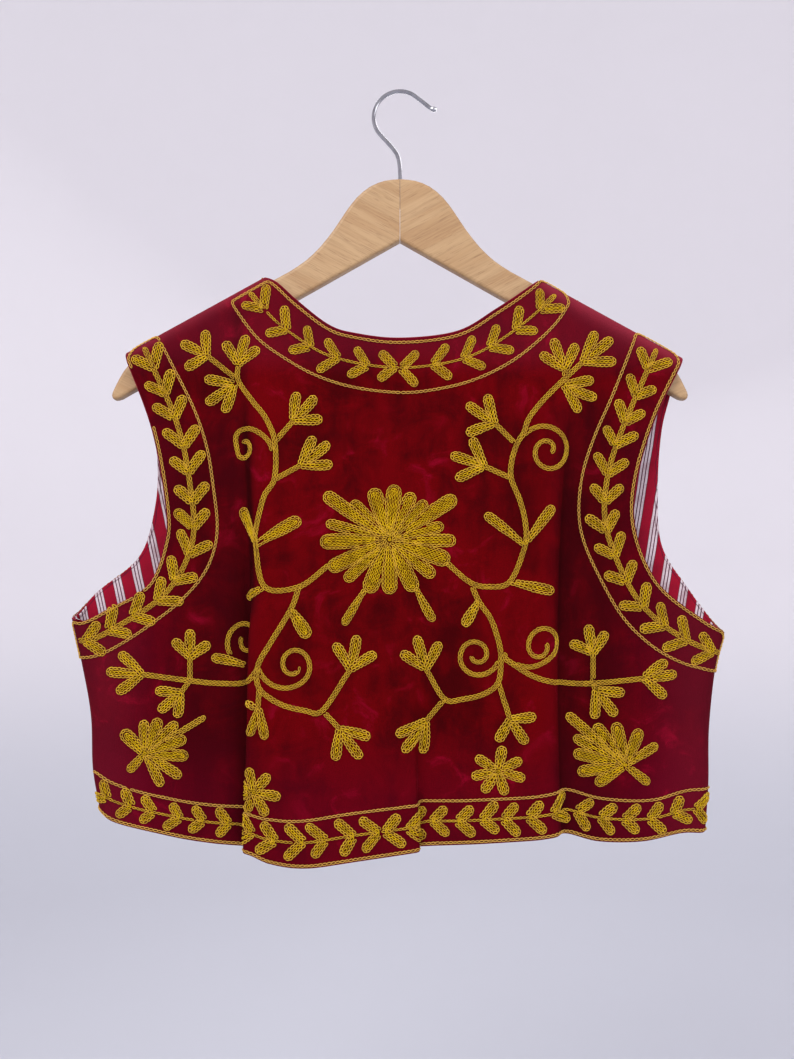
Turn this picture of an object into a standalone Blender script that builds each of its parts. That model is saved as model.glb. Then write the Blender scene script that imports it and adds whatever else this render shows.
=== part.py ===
"""An embroidered velvet vest hung on a wooden coat hanger.

Sizes are in metres, +Z is up. The origin is the point inside the top of the hanger's wire hook
where a peg carries it. The vest's back faces -Y and its open front faces +Y, so -X is the left
of the vest as seen from behind it.
"""

import math
from collections import namedtuple
from functools import partial

import bmesh
import bpy
import numpy as np

MM = 0.001

# Cloth walls, and the gaps between pieces
VELVET = 2.0 * MM
LINING = 1.0 * MM
PIECE_GAP = 0.3 * MM
SEAM_HALF_GAP = 0.16 * MM
LINING_GAP = 0.5 * MM
LINING_SETBACK = VELVET + LINING_GAP
CLOTH_STACK = LINING_SETBACK + LINING

# Hanger: two wooden arms and a wire hook
WOOD_THICKNESS = 12.0 * MM
WOOD_EDGE = 3.0 * MM
MITRE_HALF_GAP = 0.15 * MM
WIRE_RADIUS = 1.6 * MM
HOOK_RADIUS = 20.6 * MM
STEM_FOOT_Z = -90.6 * MM
STEM_HOLE_RADIUS = WIRE_RADIUS + PIECE_GAP
STEM_HOLE_FOOT_Z = -93.6 * MM

# The shoulder ridge is a half round that rests on the rounded top edges of the wood
REST_GAP = 0.75 * MM
WOOD_CORNER = WOOD_THICKNESS / 2 - WOOD_EDGE
RIDGE_RADIUS = math.hypot(WOOD_CORNER, WOOD_CORNER) + WOOD_EDGE + REST_GAP + CLOTH_STACK
RIDGE_ABOVE_WOOD = RIDGE_RADIUS - WOOD_THICKNESS / 2
SHOULDER_SLOPE = 0.549
SHOULDER_COS = math.cos(math.atan(SHOULDER_SLOPE))
SHOULDER_X = 107.0 * MM
SHOULDER_Z = -145.3 * MM

# Depth of the body
SIDE_ROUND = 12.0 * MM
BODY_SWELL = 1.6 * MM
SWELL_LENGTH = 90.0 * MM

# Facets: rows up a panel from 0 at the hem to 1 at the top, and columns across it from 0 to 1
UNDERARM_ROW = 0.40
TURN_ROWS = (0.4075, 0.42)
SIDE_ROWS = 4
ARMHOLE_ROWS = 7
RIDGE_ANGLES = (0, 24, 46, 68, 90)
SIDE_ANGLES = (0, 30, 60, 90)
PANEL_HEIGHT = 400.0 * MM
BACK_WIDTH = 474.0 * MM
FRONT_WIDTH = 214.0 * MM

Spot = namedtuple("Spot", "x z")
Guide = namedtuple("Guide", "across hem_x top_x bow")
Fold = namedtuple("Fold", "length heights angles lining_shift")
Flute = namedtuple("Flute", "top_x hem_x half_width height starts full")


def spots(*rows):
    """Rows of (x, z) in millimetres as Spots in metres."""
    return [Spot(x * MM, z * MM) for x, z in rows]


def shoulder_height(x):
    """Height of the shoulder ridge, carried on past both of its ends."""
    return SHOULDER_Z - SHOULDER_SLOPE * (np.abs(x) - SHOULDER_X)


def shoulder_spot(x_mm):
    return Spot(x_mm * MM, float(shoulder_height(x_mm * MM)))


# The corners that the pieces share
LEFT_HEM, RIGHT_HEM = spots((-235, -560), (239, -577))
LEFT_UNDERARM, RIGHT_UNDERARM = spots((-257, -411), (254, -423))
LEFT_TIP, RIGHT_TIP = shoulder_spot(-214), shoulder_spot(220.7)
LEFT_NECK, RIGHT_NECK = shoulder_spot(-106.4), shoulder_spot(110)
LEFT_CORNER, RIGHT_CORNER = spots((-26, -572), (26, -572))

# The lines between them
LEFT_SIDE = [LEFT_HEM, *spots((-240.5, -528), (-242, -487), (-249, -447)), LEFT_UNDERARM]
RIGHT_SIDE = [RIGHT_HEM, *spots((241.5, -540), (242, -497), (247, -450)), RIGHT_UNDERARM]
LEFT_ARMHOLE_BACK = [
    LEFT_UNDERARM, *spots((-245, -413), (-214, -394), (-190, -373), (-181, -331), (-192, -266)), LEFT_TIP,
]
RIGHT_ARMHOLE_BACK = [
    RIGHT_UNDERARM, *spots((233, -411), (199, -383), (182, -343), (182.5, -305), (197, -256)), RIGHT_TIP,
]
LEFT_ARMHOLE_FRONT = [
    LEFT_UNDERARM, *spots((-240, -392), (-207, -364), (-193, -325), (-190, -285), (-199, -240)), LEFT_TIP,
]
RIGHT_ARMHOLE_FRONT = [
    RIGHT_UNDERARM, *spots((230, -391), (208, -355), (204.7, -308), (207.5, -264), (214, -236)), RIGHT_TIP,
]
BACK_NECKLINE = [
    LEFT_NECK, *spots((-93.6, -149.6), (-78, -161), (-54, -180), (-35, -187.5), (0, -191.7)),
    *spots((44, -186), (74, -169.6), (98, -153.5)), RIGHT_NECK,
]
LEFT_FRONT_EDGE = [
    LEFT_CORNER, *spots((-20, -500), (-16, -420), (-15, -372), (-34, -320), (-66, -250)),
    *spots((-94, -182)), LEFT_NECK,
]
RIGHT_FRONT_EDGE = [
    RIGHT_CORNER, *spots((20, -500), (16, -420), (15, -372), (35, -320), (68, -250)),
    *spots((97, -184)), RIGHT_NECK,
]
BACK_HEMLINE = [
    LEFT_HEM, *spots((-219, -568.5), (-187, -577), (-126, -585), (-108, -595.5), (-75, -602.5)),
    *spots((-40, -597), (2, -590), (22, -586), (60, -583), (100, -579.5), (128, -576)),
    *spots((155, -581.5), (188, -582), (219, -576)), RIGHT_HEM,
]
LEFT_FRONT_HEMLINE = [
    LEFT_HEM, *spots((-219, -568), (-180, -577), (-110, -583), (-50, -584), (-34, -581)), LEFT_CORNER,
]
RIGHT_FRONT_HEMLINE = [
    RIGHT_HEM, *spots((215, -577), (165, -581), (105, -584), (50, -584), (34, -581)), RIGHT_CORNER,
]

# Upright lines of the back, at a share of the way across it, with a bow that is deepest half way up.
# HEM_LEVEL and TOP_LEVEL are where their ends lie.
HEM_LEVEL, TOP_LEVEL = -588 * MM, -158 * MM
GUIDES = {
    "left edge": Guide(0.00, LEFT_HEM.x, LEFT_TIP.x, 0.0),
    "pleat": Guide(0.25, -121 * MM, -132 * MM, 9 * MM),
    "left neck": Guide(0.30, -98 * MM, LEFT_NECK.x, 4 * MM),
    "flute": Guide(0.52, 14 * MM, 8 * MM, 0.0),
    "right neck": Guide(0.71, 103 * MM, RIGHT_NECK.x, -4 * MM),
    "ridge": Guide(0.76, 127 * MM, 137 * MM, -9 * MM),
    "right edge": Guide(1.00, RIGHT_HEM.x, RIGHT_TIP.x, 0.0),
}

# Folds of the back: the length of cloth in one, and how far the cloth has turned at its middle, in
# degrees, at each height in millimetres. Past 90 degrees it doubles over itself. The lining has no
# lap: it steps beside the fold, on the hollow's side of both layers.
FOLDS = {
    "pleat": Fold(22 * MM, (-205, -250, -330, -390, -425, -450), (0, 21, 46, 74, 138, 150), 12 * MM),
    "flute": Fold(15 * MM, (-430, -500, -585), (0, 50, 130), -12 * MM),
    "ridge": Fold(22 * MM, (-205, -250, -330, -420), (0, 20, 56, 60), -12 * MM),
}
MIDDLE_SHARE = 0.65
FLUTE_RISE_SHARE = 0.35
TAKE_UP_FADE = 45.0 * MM
LINING_STEP = 16.0 * MM
CREASE_DEPTH = 2.2 * MM
CREASE_WIDTH = 7.0 * MM
CREASE_SPAN = (-205 * MM, -250 * MM, -370 * MM, -420 * MM)

# Near an underarm the back's rows of facets dip, to share out its sharp corner
DIP = 18.0 * MM
DIP_START = 12.0 * MM
DIP_ROW = 0.385
DIP_ROWS = 0.045

# Soft upright flutes of the fronts
FLUTES = [
    Flute(-168 * MM, -182 * MM, 26 * MM, 2.6 * MM, -240 * MM, -420 * MM),
    Flute(-104 * MM, -112 * MM, 20 * MM, -1.8 * MM, -230 * MM, -470 * MM),
    Flute(-62 * MM, -58 * MM, 24 * MM, 3.0 * MM, -330 * MM, -520 * MM),
    Flute(62 * MM, 66 * MM, 26 * MM, 2.8 * MM, -320 * MM, -500 * MM),
    Flute(112 * MM, 124 * MM, 20 * MM, -1.6 * MM, -250 * MM, -460 * MM),
    Flute(170 * MM, 180 * MM, 28 * MM, 3.0 * MM, -260 * MM, -440 * MM),
]

# Hanger outline, one side of the middle: the neck's curve, the straight shoulder, the end, the foot
WOOD_NECK = spots(
    (11.7, -69.8), (23.3, -74.4), (33.8, -83), (42.7, -94.6), (51.3, -107.5), (62.2, -121.4),
    (73.8, -132.4), (86, -140.6),
)
WOOD_END = spots(
    (197, -200.6), (207, -208.5), (216, -219), (222.5, -231), (225, -237.5), (223, -241), (218, -240)
)
WOOD_TOP_Z = -68.6 * MM
WOOD_FOOT_Z = -117.0 * MM
WOOD_SHOULDER_X = 190 * MM

# Wire path above its straight stem, and past the end of its round
STEM_BEND = spots((0, -75), (0, -60), (-2.6, -47.5))
HOOK_LIP = spots((20.6, -9.0), (24.4, -11.9), (28.6, -13.0))
HOOK_START, HOOK_STOP, HOOK_STEP = 228, 48, 15
KNOB_SCALE = (1.0, 1.25, 1.3, 0.9)


def clamp01(values):
    return np.clip(values, 0.0, 1.0)


def ease(values):
    """Smooth step from 0 to 1."""
    u = clamp01(values)
    return u * u * (3 - 2 * u)


def fade(z, starts, full):
    """0 above the height starts, 1 below the height full."""
    return ease((starts - z) / (starts - full))


def quarter_round(values):
    """Height of a quarter circle of radius 1, at this distance in from its edge."""
    return np.sqrt(1 - (1 - clamp01(values)) ** 2)


def spline(points, steps=24):
    """A dense Catmull-Rom line through the points."""
    knots = np.array(points, float)
    knots = np.vstack([2 * knots[0] - knots[1], knots, 2 * knots[-1] - knots[-2]])
    u = np.linspace(0, 1, steps, endpoint=False)[:, None]
    dense = []
    for a, b, c, d in zip(knots, knots[1:], knots[2:], knots[3:]):
        bend = (c - a) * u + (2 * a - 5 * b + 4 * c - d) * u**2 + (3 * b - a - 3 * c + d) * u**3
        dense.append(b + bend / 2)
    return np.vstack([*dense, knots[-2:-1]])


def along(points):
    """A function that gives the place at each share of the line's length."""
    dense = spline(points)
    lengths = np.concatenate([[0], np.cumsum(np.linalg.norm(np.diff(dense, axis=0), axis=1))])
    lengths /= lengths[-1]
    return lambda u: np.stack([np.interp(u, lengths, dense[:, axis]) for axis in (0, 1)])


def side_and_armhole(side, armhole):
    """A panel's outer edge: up the side seam, then round the armhole to the shoulder's tip."""
    side_at, armhole_at = along(side), along(armhole)

    def place(t):
        low = side_at(clamp01(t / UNDERARM_ROW))
        high = armhole_at(clamp01((t - UNDERARM_ROW) / (1 - UNDERARM_ROW)))
        return np.where(t < UNDERARM_ROW, low, high)

    return place


def height_at(points, x):
    """Height of a line that runs from left to right."""
    dense = spline(points)
    return np.interp(x, dense[:, 0], dense[:, 1])


def seam_x(points, z):
    """X of a line that runs from the hem up. Above its top end it keeps that end's X."""
    dense = spline(points)
    return np.interp(z, dense[:, 1], dense[:, 0])


def body_depth(x, z):
    """How far the cloth stands out from the middle plane, before folds, and the share of it left
    where the cloth closes in a quarter round at the shoulder ridge and at the side seams."""
    below_ridge = (shoulder_height(x) - z) * SHOULDER_COS
    depth = RIDGE_RADIUS + BODY_SWELL * ease(below_ridge / SWELL_LENGTH)
    closing = quarter_round(below_ridge / RIDGE_RADIUS)
    closing = closing * quarter_round((x - seam_x(LEFT_SIDE, z)) / SIDE_ROUND)
    closing = closing * quarter_round((seam_x(RIGHT_SIDE, z) - x) / SIDE_ROUND)
    return depth, closing


def guide_x(guide, z):
    up = (z - HEM_LEVEL) / (TOP_LEVEL - HEM_LEVEL)
    return (1 - up) * guide.hem_x + up * guide.top_x + guide.bow * np.sin(math.pi * up)


def fold_line(angle, share, samples=24):
    """Place along a fold of unit length that turns by angle at its middle and back again."""
    parts = (np.arange(samples) + 0.5) / samples
    turned = angle[..., None] * np.sin(math.pi * share[..., None] * parts) ** 2
    return share * np.cos(turned).mean(axis=-1), share * np.sin(turned).mean(axis=-1)


def back_relief(x, z, lining=False):
    """The back's outer face above the place (x, z) of the flat panel, with its folds."""
    line, past, step = {}, {}, {}
    shift = np.zeros_like(x)
    for name, fold in FOLDS.items():
        line[name] = guide_x(GUIDES[name], z)
        angle = np.radians(1 + np.interp(-z / MM, np.negative(fold.heights), fold.angles))
        from_line = x - line[name]
        share = clamp01(from_line / fold.length + 0.5)
        run, rise = fold_line(angle, share)
        full_run, full_rise = fold_line(angle, np.ones_like(x))
        step[name] = fold.length * full_rise
        if lining:
            past[name] = ease((from_line - fold.lining_shift) / LINING_STEP + 0.5)
            continue
        past[name] = rise / full_rise
        beyond = np.abs(from_line) - fold.length / 2
        taken_up = fold.length * (run - full_run / 2 - share + 0.5)
        shift = shift + taken_up * (1 - ease(beyond / TAKE_UP_FADE))

    depth, closing = body_depth(x, z)
    to_flute = clamp01((x - line["pleat"]) / (line["flute"] - line["pleat"]))
    to_ridge = clamp01((x - line["flute"]) / (line["ridge"] - line["flute"]))
    middle = MIDDLE_SHARE * step["pleat"]
    before_flute = middle + FLUTE_RISE_SHARE * step["flute"]
    after_flute = before_flute - step["flute"]
    left_half = step["pleat"] * (1 - to_flute) + before_flute * to_flute
    right_half = after_flute * (1 - to_ridge) + step["ridge"] * to_ridge
    depth = depth + past["pleat"] * (1 - past["flute"]) * left_half
    depth = depth + past["flute"] * (1 - past["ridge"]) * right_half
    starts, full, fading, gone = CREASE_SPAN
    crease = np.exp(-(((x - line["pleat"]) / CREASE_WIDTH) ** 2))
    depth = depth - CREASE_DEPTH * crease * fade(z, starts, full) * (1 - fade(z, fading, gone))
    return np.stack([x + shift, -depth * closing, z], axis=-1)


def front_relief(x, z):
    """A front's outer face above the place (x, z) of the flat panel, with its flutes."""
    depth, closing = body_depth(x, z)
    up = (z - HEM_LEVEL) / (TOP_LEVEL - HEM_LEVEL)
    for flute in FLUTES:
        line_x = (1 - up) * flute.hem_x + up * flute.top_x
        shape = np.exp(-(((x - line_x) / flute.half_width) ** 2))
        depth = depth + flute.height * shape * fade(z, flute.starts, flute.full)
    return np.stack([x, depth * closing, z], axis=-1)


def back_place(s, t):
    """Place on the flat back, s of the way across and t of the way up."""
    across = [guide.across for guide in GUIDES.values()]
    hem_x, top_x, bow = (
        np.interp(s, across, [guide[column] for guide in GUIDES.values()]) for column in (1, 2, 3)
    )
    neckline = height_at(BACK_NECKLINE, top_x)
    on_shoulder = (top_x < LEFT_NECK.x) | (top_x > RIGHT_NECK.x)
    top_z = np.where(on_shoulder, shoulder_height(top_x), neckline)
    x = (1 - t) * hem_x + t * top_x + bow * np.sin(math.pi * t)
    z = (1 - t) * height_at(BACK_HEMLINE, hem_x) + t * top_z
    left, right = GUIDES["pleat"].across, GUIDES["ridge"].across
    edges = (
        (side_and_armhole(LEFT_SIDE, LEFT_ARMHOLE_BACK), 1 - s / left),
        (side_and_armhole(RIGHT_SIDE, RIGHT_ARMHOLE_BACK), (s - right) / (1 - right)),
    )
    for edge, nearness in edges:
        straight = (1 - t) * edge(np.zeros_like(t)) + t * edge(np.ones_like(t))
        dx, dz = (edge(t) - straight) * clamp01(nearness)
        from_edge = (1 - clamp01(nearness)) * left * BACK_WIDTH
        dip = DIP * np.exp(-(((t - DIP_ROW) / DIP_ROWS) ** 2)) * (1 - np.exp(-from_edge / DIP_START))
        x, z = x + dx, z + dz - dip * clamp01(nearness)
    return x, z


def front_place(cut, s, t):
    """Place on a flat front, s of the way from the side seam to the front edge and t of the way up:
    a Coons patch between its four edges."""
    side, armhole, front_edge, hemline = cut
    outer, inner = side_and_armhole(side, armhole)(t), along(front_edge)(t)
    top_x = (1 - s) * armhole[-1].x + s * front_edge[-1].x
    low, high = along(hemline)(s), np.stack([top_x, shoulder_height(top_x)])
    place = (1 - s) * outer + s * inner + (1 - t) * low + t * high
    corners = (side[0], hemline[-1], armhole[-1], front_edge[-1])
    shares = ((1 - s) * (1 - t), s * (1 - t), (1 - s) * t, s * t)
    return place - sum(np.multiply.outer(corner, share) for corner, share in zip(corners, shares))


def round_places(radius, angles):
    """Distances in from the edge of a quarter round at each angle round it."""
    return radius * (1 - np.cos(np.radians(angles)))


def row_places():
    """Rows of facets: up the side, close together at the underarm, up the armhole, over the ridge."""
    ridge = 1 - round_places(RIDGE_RADIUS, RIDGE_ANGLES)[::-1] / SHOULDER_COS / PANEL_HEIGHT
    side = np.linspace(0, UNDERARM_ROW, SIDE_ROWS, endpoint=False)
    armhole = np.linspace(TURN_ROWS[-1], ridge[0], ARMHOLE_ROWS, endpoint=False)[1:]
    return np.concatenate([side, [UNDERARM_ROW], TURN_ROWS, armhole, ridge])


def seam_places(width):
    """Columns of facets round the cloth's turn at a side seam."""
    return round_places(SIDE_ROUND, SIDE_ANGLES) / width


def spread(s, t, width):
    """The seam's columns stand evenly apart in the rows above the underarm."""
    turned = np.arccos(1 - clamp01(s * width / SIDE_ROUND)) / (math.pi / 2)
    return np.where((s * width < SIDE_ROUND) & (t > UNDERARM_ROW), turned * SIDE_ROUND / width, s)


def panel_grid(across, outward):
    """The grid of s and t for a panel, whose side seams are at s = 0 and, on the back, at s = 1."""
    width = BACK_WIDTH if outward < 0 else FRONT_WIDTH
    s, t = np.meshgrid(across, row_places())
    s = spread(s, t, width)
    if outward < 0:
        s = 1 - spread(1 - s, t, width)
    return s, t


def fold_places(name, count):
    """Columns across a fold, evenly along its cloth."""
    fold = FOLDS[name]
    return GUIDES[name].across + np.linspace(-0.5, 0.5, count) * fold.length / BACK_WIDTH


def neck_places():
    """Columns close together where the neckline leaves the shoulder ridge."""
    steps = np.array([0, 0.006, 0.014, 0.027])
    return np.concatenate([GUIDES["left neck"].across + steps, GUIDES["right neck"].across - steps])


def columns(*groups):
    return np.unique(np.round(np.concatenate(groups), 5))


def velvet_columns():
    folds = fold_places("pleat", 11), fold_places("flute", 8), fold_places("ridge", 6)
    plain = (0.09, 0.17, 0.38, 0.45, 0.59, 0.65, 0.83, 0.9)
    return columns(seam_places(BACK_WIDTH), neck_places(), *folds, plain, 1 - seam_places(BACK_WIDTH))


def lining_columns():
    steps = (0.222, 0.237, 0.25, 0.263, 0.28, 0.475, 0.495, 0.515, 0.715, 0.735, 0.755)
    plain = (0.09, 0.17, 0.38, 0.45, 0.59, 0.65, 0.79, 0.83, 0.9)
    return columns(seam_places(BACK_WIDTH), neck_places(), steps, plain, 1 - seam_places(BACK_WIDTH))


def front_columns():
    return columns(seam_places(FRONT_WIDTH), (0.15, 0.28, 0.42, 0.57, 0.72, 0.87, 1.0))


def normals_of(relief, x, z):
    """Unit normals of a relief, from places a little to each side."""
    nudge = 0.05 * MM
    dx = relief(x + nudge, z) - relief(x - nudge, z)
    dz = relief(x, z + nudge) - relief(x, z - nudge)
    normal = np.cross(dx, dz)
    return normal / np.linalg.norm(normal, axis=-1, keepdims=True)


def split(number):
    """Triangles of a grid of vertex numbers. Both layers of cloth split their cells the same way, so
    that their walls stay clear of each other, and the diagonals rise to the middle from both sides."""
    a, b = number[:-1, :-1], number[:-1, 1:]
    c, d = number[1:, 1:], number[1:, :-1]
    rising = np.broadcast_to(np.arange(a.shape[1]) * 2 < a.shape[1], a.shape)[..., None]
    low = np.where(rising, np.stack([a, b, d], axis=-1), np.stack([a, b, c], axis=-1))
    high = np.where(rising, np.stack([b, c, d], axis=-1), np.stack([a, c, d], axis=-1))
    return np.concatenate([low.reshape(-1, 3), high.reshape(-1, 3)])


def cloth(name, place, relief, across, outward, depths, finish):
    """One piece of cloth: a wall lofted between two grids laid on the relief, set in by two depths.
    outward is -1 for a piece of the back, whose outer face looks along -Y, and 1 for one of a front."""
    s, t = panel_grid(across, outward)
    x, z = place(s, t)
    normal = outward * normals_of(relief, x, z)
    faces_of_wall = [relief(x, z) + depth * normal for depth in depths]
    points = np.stack(faces_of_wall)
    points[..., 1] = outward * np.maximum(outward * points[..., 1], SEAM_HALF_GAP)
    number = np.arange(points[..., 0].size).reshape(points.shape[:3])
    outer, inner = number

    loops = [number[:, 0, :-1], number[:, :-1, -1], number[:, -1, :0:-1], number[:, :0:-1, 0]]
    rim = np.concatenate(loops, axis=1)
    rim = np.concatenate([rim, rim[:, :1]], axis=1)
    faces = [split(outer), split(inner)[:, ::-1], split(rim[::-1])]
    mesh = bpy.data.meshes.new(name)
    mesh.from_pydata(points.reshape(-1, 3).tolist(), [], np.concatenate(faces).tolist())
    shell = bmesh.new()
    shell.from_mesh(mesh)
    if shell.calc_volume(signed=True) < 0:
        bmesh.ops.reverse_faces(shell, faces=shell.faces)
    shell.to_mesh(mesh)
    shell.free()
    mesh.materials.append(finish)
    return bpy.data.objects.new(name, mesh)


def build_cloth(group):
    velvet = material("red_velvet", (0.25, 0.0, 0.015), 0.9)
    cotton = material("striped_cotton", (0.5, 0.02, 0.05), 0.8)
    across, behind = velvet_columns(), lining_columns()

    def lining_relief(x, z):
        return back_relief(x, z, lining=True)

    outside, inside = (0.0, VELVET), (LINING_SETBACK, CLOTH_STACK)
    pieces = [
        cloth("back_panel", back_place, back_relief, across, -1, outside, velvet),
        cloth("lining_back", back_place, lining_relief, behind, -1, inside, cotton),
    ]
    cuts = {
        "left": (LEFT_SIDE, LEFT_ARMHOLE_FRONT, LEFT_FRONT_EDGE, LEFT_FRONT_HEMLINE),
        "right": (RIGHT_SIDE, RIGHT_ARMHOLE_FRONT, RIGHT_FRONT_EDGE, RIGHT_FRONT_HEMLINE),
    }
    layers = {"front": (outside, velvet), "lining_front": (inside, cotton)}
    for hand, cut in cuts.items():
        for layer, made in layers.items():
            place = partial(front_place, cut)
            pieces.append(cloth(f"{layer}_{hand}", place, front_relief, front_columns(), 1, *made))
    for piece in pieces:
        group.objects.link(piece)


def arm_outline():
    """Half of the hanger's outline, from the middle of its top round to the middle of its foot."""
    drop = RIDGE_ABOVE_WOOD / SHOULDER_COS
    shoulder = Spot(WOOD_SHOULDER_X, float(shoulder_height(WOOD_SHOULDER_X)) - drop)
    neck = spline([Spot(MITRE_HALF_GAP, WOOD_TOP_Z), *WOOD_NECK], steps=2)
    end = spline([shoulder, *WOOD_END], steps=2)
    return [tuple(place) for place in (*neck, *end)] + [(MITRE_HALF_GAP, WOOD_FOOT_Z)]


def hanger_arm(name, side, stem_hole, finish):
    """A slab of wood cut to the outline, its long edges rounded, with half of the stem's blind hole."""
    slab = bmesh.new()
    half = WOOD_THICKNESS / 2
    face = slab.faces.new([slab.verts.new((side * x, -half, z)) for x, z in arm_outline()])
    raised = bmesh.ops.extrude_face_region(slab, geom=[face])["geom"]
    top = [item for item in raised if isinstance(item, bmesh.types.BMVert)]
    bmesh.ops.translate(slab, verts=top, vec=(0, WOOD_THICKNESS, 0))
    bmesh.ops.recalc_face_normals(slab, faces=slab.faces)
    level = [edge for edge in slab.edges if abs(edge.verts[0].co.y - edge.verts[1].co.y) < half]
    long_edges = [edge for edge in level if max(abs(v.co.x) for v in edge.verts) > 2 * MITRE_HALF_GAP]
    bmesh.ops.bevel(
        slab, geom=long_edges, offset=WOOD_EDGE, segments=3, profile=0.5, affect="EDGES", clamp_overlap=True
    )
    mesh = bpy.data.meshes.new(name)
    slab.to_mesh(mesh)
    slab.free()
    mesh.materials.append(finish)
    mesh.shade_smooth()
    mesh.set_sharp_from_angle(angle=math.radians(40))
    arm = bpy.data.objects.new(name, mesh)
    drill = arm.modifiers.new("stem hole", "BOOLEAN")
    drill.operation = "DIFFERENCE"
    drill.object = stem_hole
    return arm


def stem_hole_cutter():
    top = WOOD_TOP_Z + WOOD_EDGE
    bpy.ops.mesh.primitive_cylinder_add(
        vertices=16, radius=STEM_HOLE_RADIUS, depth=top - STEM_HOLE_FOOT_Z,
        location=(0, 0, (top + STEM_HOLE_FOOT_Z) / 2),
    )
    cutter = bpy.context.object
    cutter.name = "stem_hole_cutter"
    cutter.hide_render = True
    cutter.display_type = "WIRE"
    return cutter


def hanger_hook(finish):
    """The wire: a straight stem, a round with the origin inside its top, and a lip with a knob."""
    middle_z = WIRE_RADIUS - HOOK_RADIUS
    round_part = [
        Spot(HOOK_RADIUS * math.cos(math.radians(a)), middle_z + HOOK_RADIUS * math.sin(math.radians(a)))
        for a in range(HOOK_START, HOOK_STOP - 1, -HOOK_STEP)
    ]
    path = spline([Spot(0, STEM_FOOT_Z), *STEM_BEND, *round_part, *HOOK_LIP], steps=3)
    wire = bpy.data.curves.new("hanger_hook", "CURVE")
    wire.dimensions = "3D"
    wire.bevel_depth = WIRE_RADIUS
    wire.bevel_resolution = 3
    wire.use_fill_caps = True
    line = wire.splines.new("POLY")
    line.points.add(len(path) - 1)
    for point, (x, z) in zip(line.points, path):
        point.co = (x, 0, z, 1)
    for point, scale in zip(line.points[-len(KNOB_SCALE):], KNOB_SCALE):
        point.radius = scale
    wire.materials.append(finish)
    return bpy.data.objects.new("hanger_hook", wire)


def build_hanger(group, cutters):
    beech = material("beech_wood", (0.62, 0.42, 0.24), 0.5)
    chrome = material("chrome_wire", (0.75, 0.75, 0.76), 0.2, metallic=1.0)
    stem_hole = stem_hole_cutter()
    for collection in list(stem_hole.users_collection):
        collection.objects.unlink(stem_hole)
    cutters.objects.link(stem_hole)
    group.objects.link(hanger_arm("hanger_arm_left", -1, stem_hole, beech))
    group.objects.link(hanger_arm("hanger_arm_right", 1, stem_hole, beech))
    group.objects.link(hanger_hook(chrome))


def material(name, colour, roughness, metallic=0.0):
    made = bpy.data.materials.new(name)
    made.use_nodes = True
    shader = made.node_tree.nodes["Principled BSDF"]
    shader.inputs["Base Color"].default_value = (*colour, 1)
    shader.inputs["Roughness"].default_value = roughness
    shader.inputs["Metallic"].default_value = metallic
    return made


def main():
    for obj in list(bpy.data.objects):
        bpy.data.objects.remove(obj)
    group = bpy.data.collections.new("embroidered_vest")
    cutters = bpy.data.collections.new("cutters")
    for collection in (group, cutters):
        bpy.context.scene.collection.children.link(collection)
    build_cloth(group)
    build_hanger(group, cutters)


main()
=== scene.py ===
# An embroidered velvet vest, seen from its back, on a wooden coat hanger.
# Sizes are in metres in the model's frame: +Z up, the vest's back faces -Y, its open front +Y.
import math
from functools import partial, partialmethod

import bpy
import numpy as np
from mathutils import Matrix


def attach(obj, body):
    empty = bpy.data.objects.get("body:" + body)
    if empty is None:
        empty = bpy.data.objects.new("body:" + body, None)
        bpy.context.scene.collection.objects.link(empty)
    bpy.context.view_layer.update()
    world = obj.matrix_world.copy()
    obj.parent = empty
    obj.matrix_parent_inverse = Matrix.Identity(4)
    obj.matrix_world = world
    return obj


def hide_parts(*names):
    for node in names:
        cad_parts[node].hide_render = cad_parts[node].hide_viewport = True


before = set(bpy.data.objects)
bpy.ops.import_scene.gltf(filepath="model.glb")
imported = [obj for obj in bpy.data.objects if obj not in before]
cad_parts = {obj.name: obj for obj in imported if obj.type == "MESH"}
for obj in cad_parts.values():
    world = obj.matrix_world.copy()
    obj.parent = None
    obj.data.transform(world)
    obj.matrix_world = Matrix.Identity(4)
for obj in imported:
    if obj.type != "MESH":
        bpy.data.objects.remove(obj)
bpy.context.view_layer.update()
scene = bpy.context.scene
mm = 0.001
dice = np.random.default_rng(11)
ways = {"left": -1, "right": 1}  # the sides as they are seen from behind, and the way to each along X

# Camera, level with the middle of the vest and a little left of the hook
cameraSettings = {"place": (-2.3 * mm, -808 * mm, -342.3 * mm), "lens": 35.0, "sensor": 36.0}


def placeCamera():
    data = bpy.data.cameras.new("camera")
    data.lens = cameraSettings["lens"]
    data.sensor_width = cameraSettings["sensor"]
    camera = bpy.data.objects.new("camera", data)
    camera.location = cameraSettings["place"]
    camera.rotation_euler = (math.radians(90), 0, 0)
    scene.collection.objects.link(camera)
    scene.camera = camera


placeCamera()


# ---- sums that the pieces share ----
def ease(values):
    # Smooth step: 3u^2 - 2u^3 of the value held between 0 and 1
    u = np.clip(values, 0, 1)
    return u * u * (3 - 2 * u)


def fade(z, starts, full):
    # 0 above the height starts, 1 below the height full
    return ease((starts - z) / (starts - full))


def grow(values, starts, length):
    # 0 up to starts, 1 from a length past it, smooth between, in mm
    return ease((values - starts * mm) / (length * mm))


def unit(vectors):
    # Vectors over their lengths
    return vectors / np.linalg.norm(vectors, axis=-1, keepdims=True)


def bell(distance, width):
    # e to the minus u squared, where u is the distance over the width
    return np.exp(-((distance / width) ** 2))


def quarterRound(values):
    # Height of a quarter circle of radius 1 at this distance in from its edge
    return np.sqrt(1 - (1 - np.clip(values, 0, 1)) ** 2)


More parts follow.
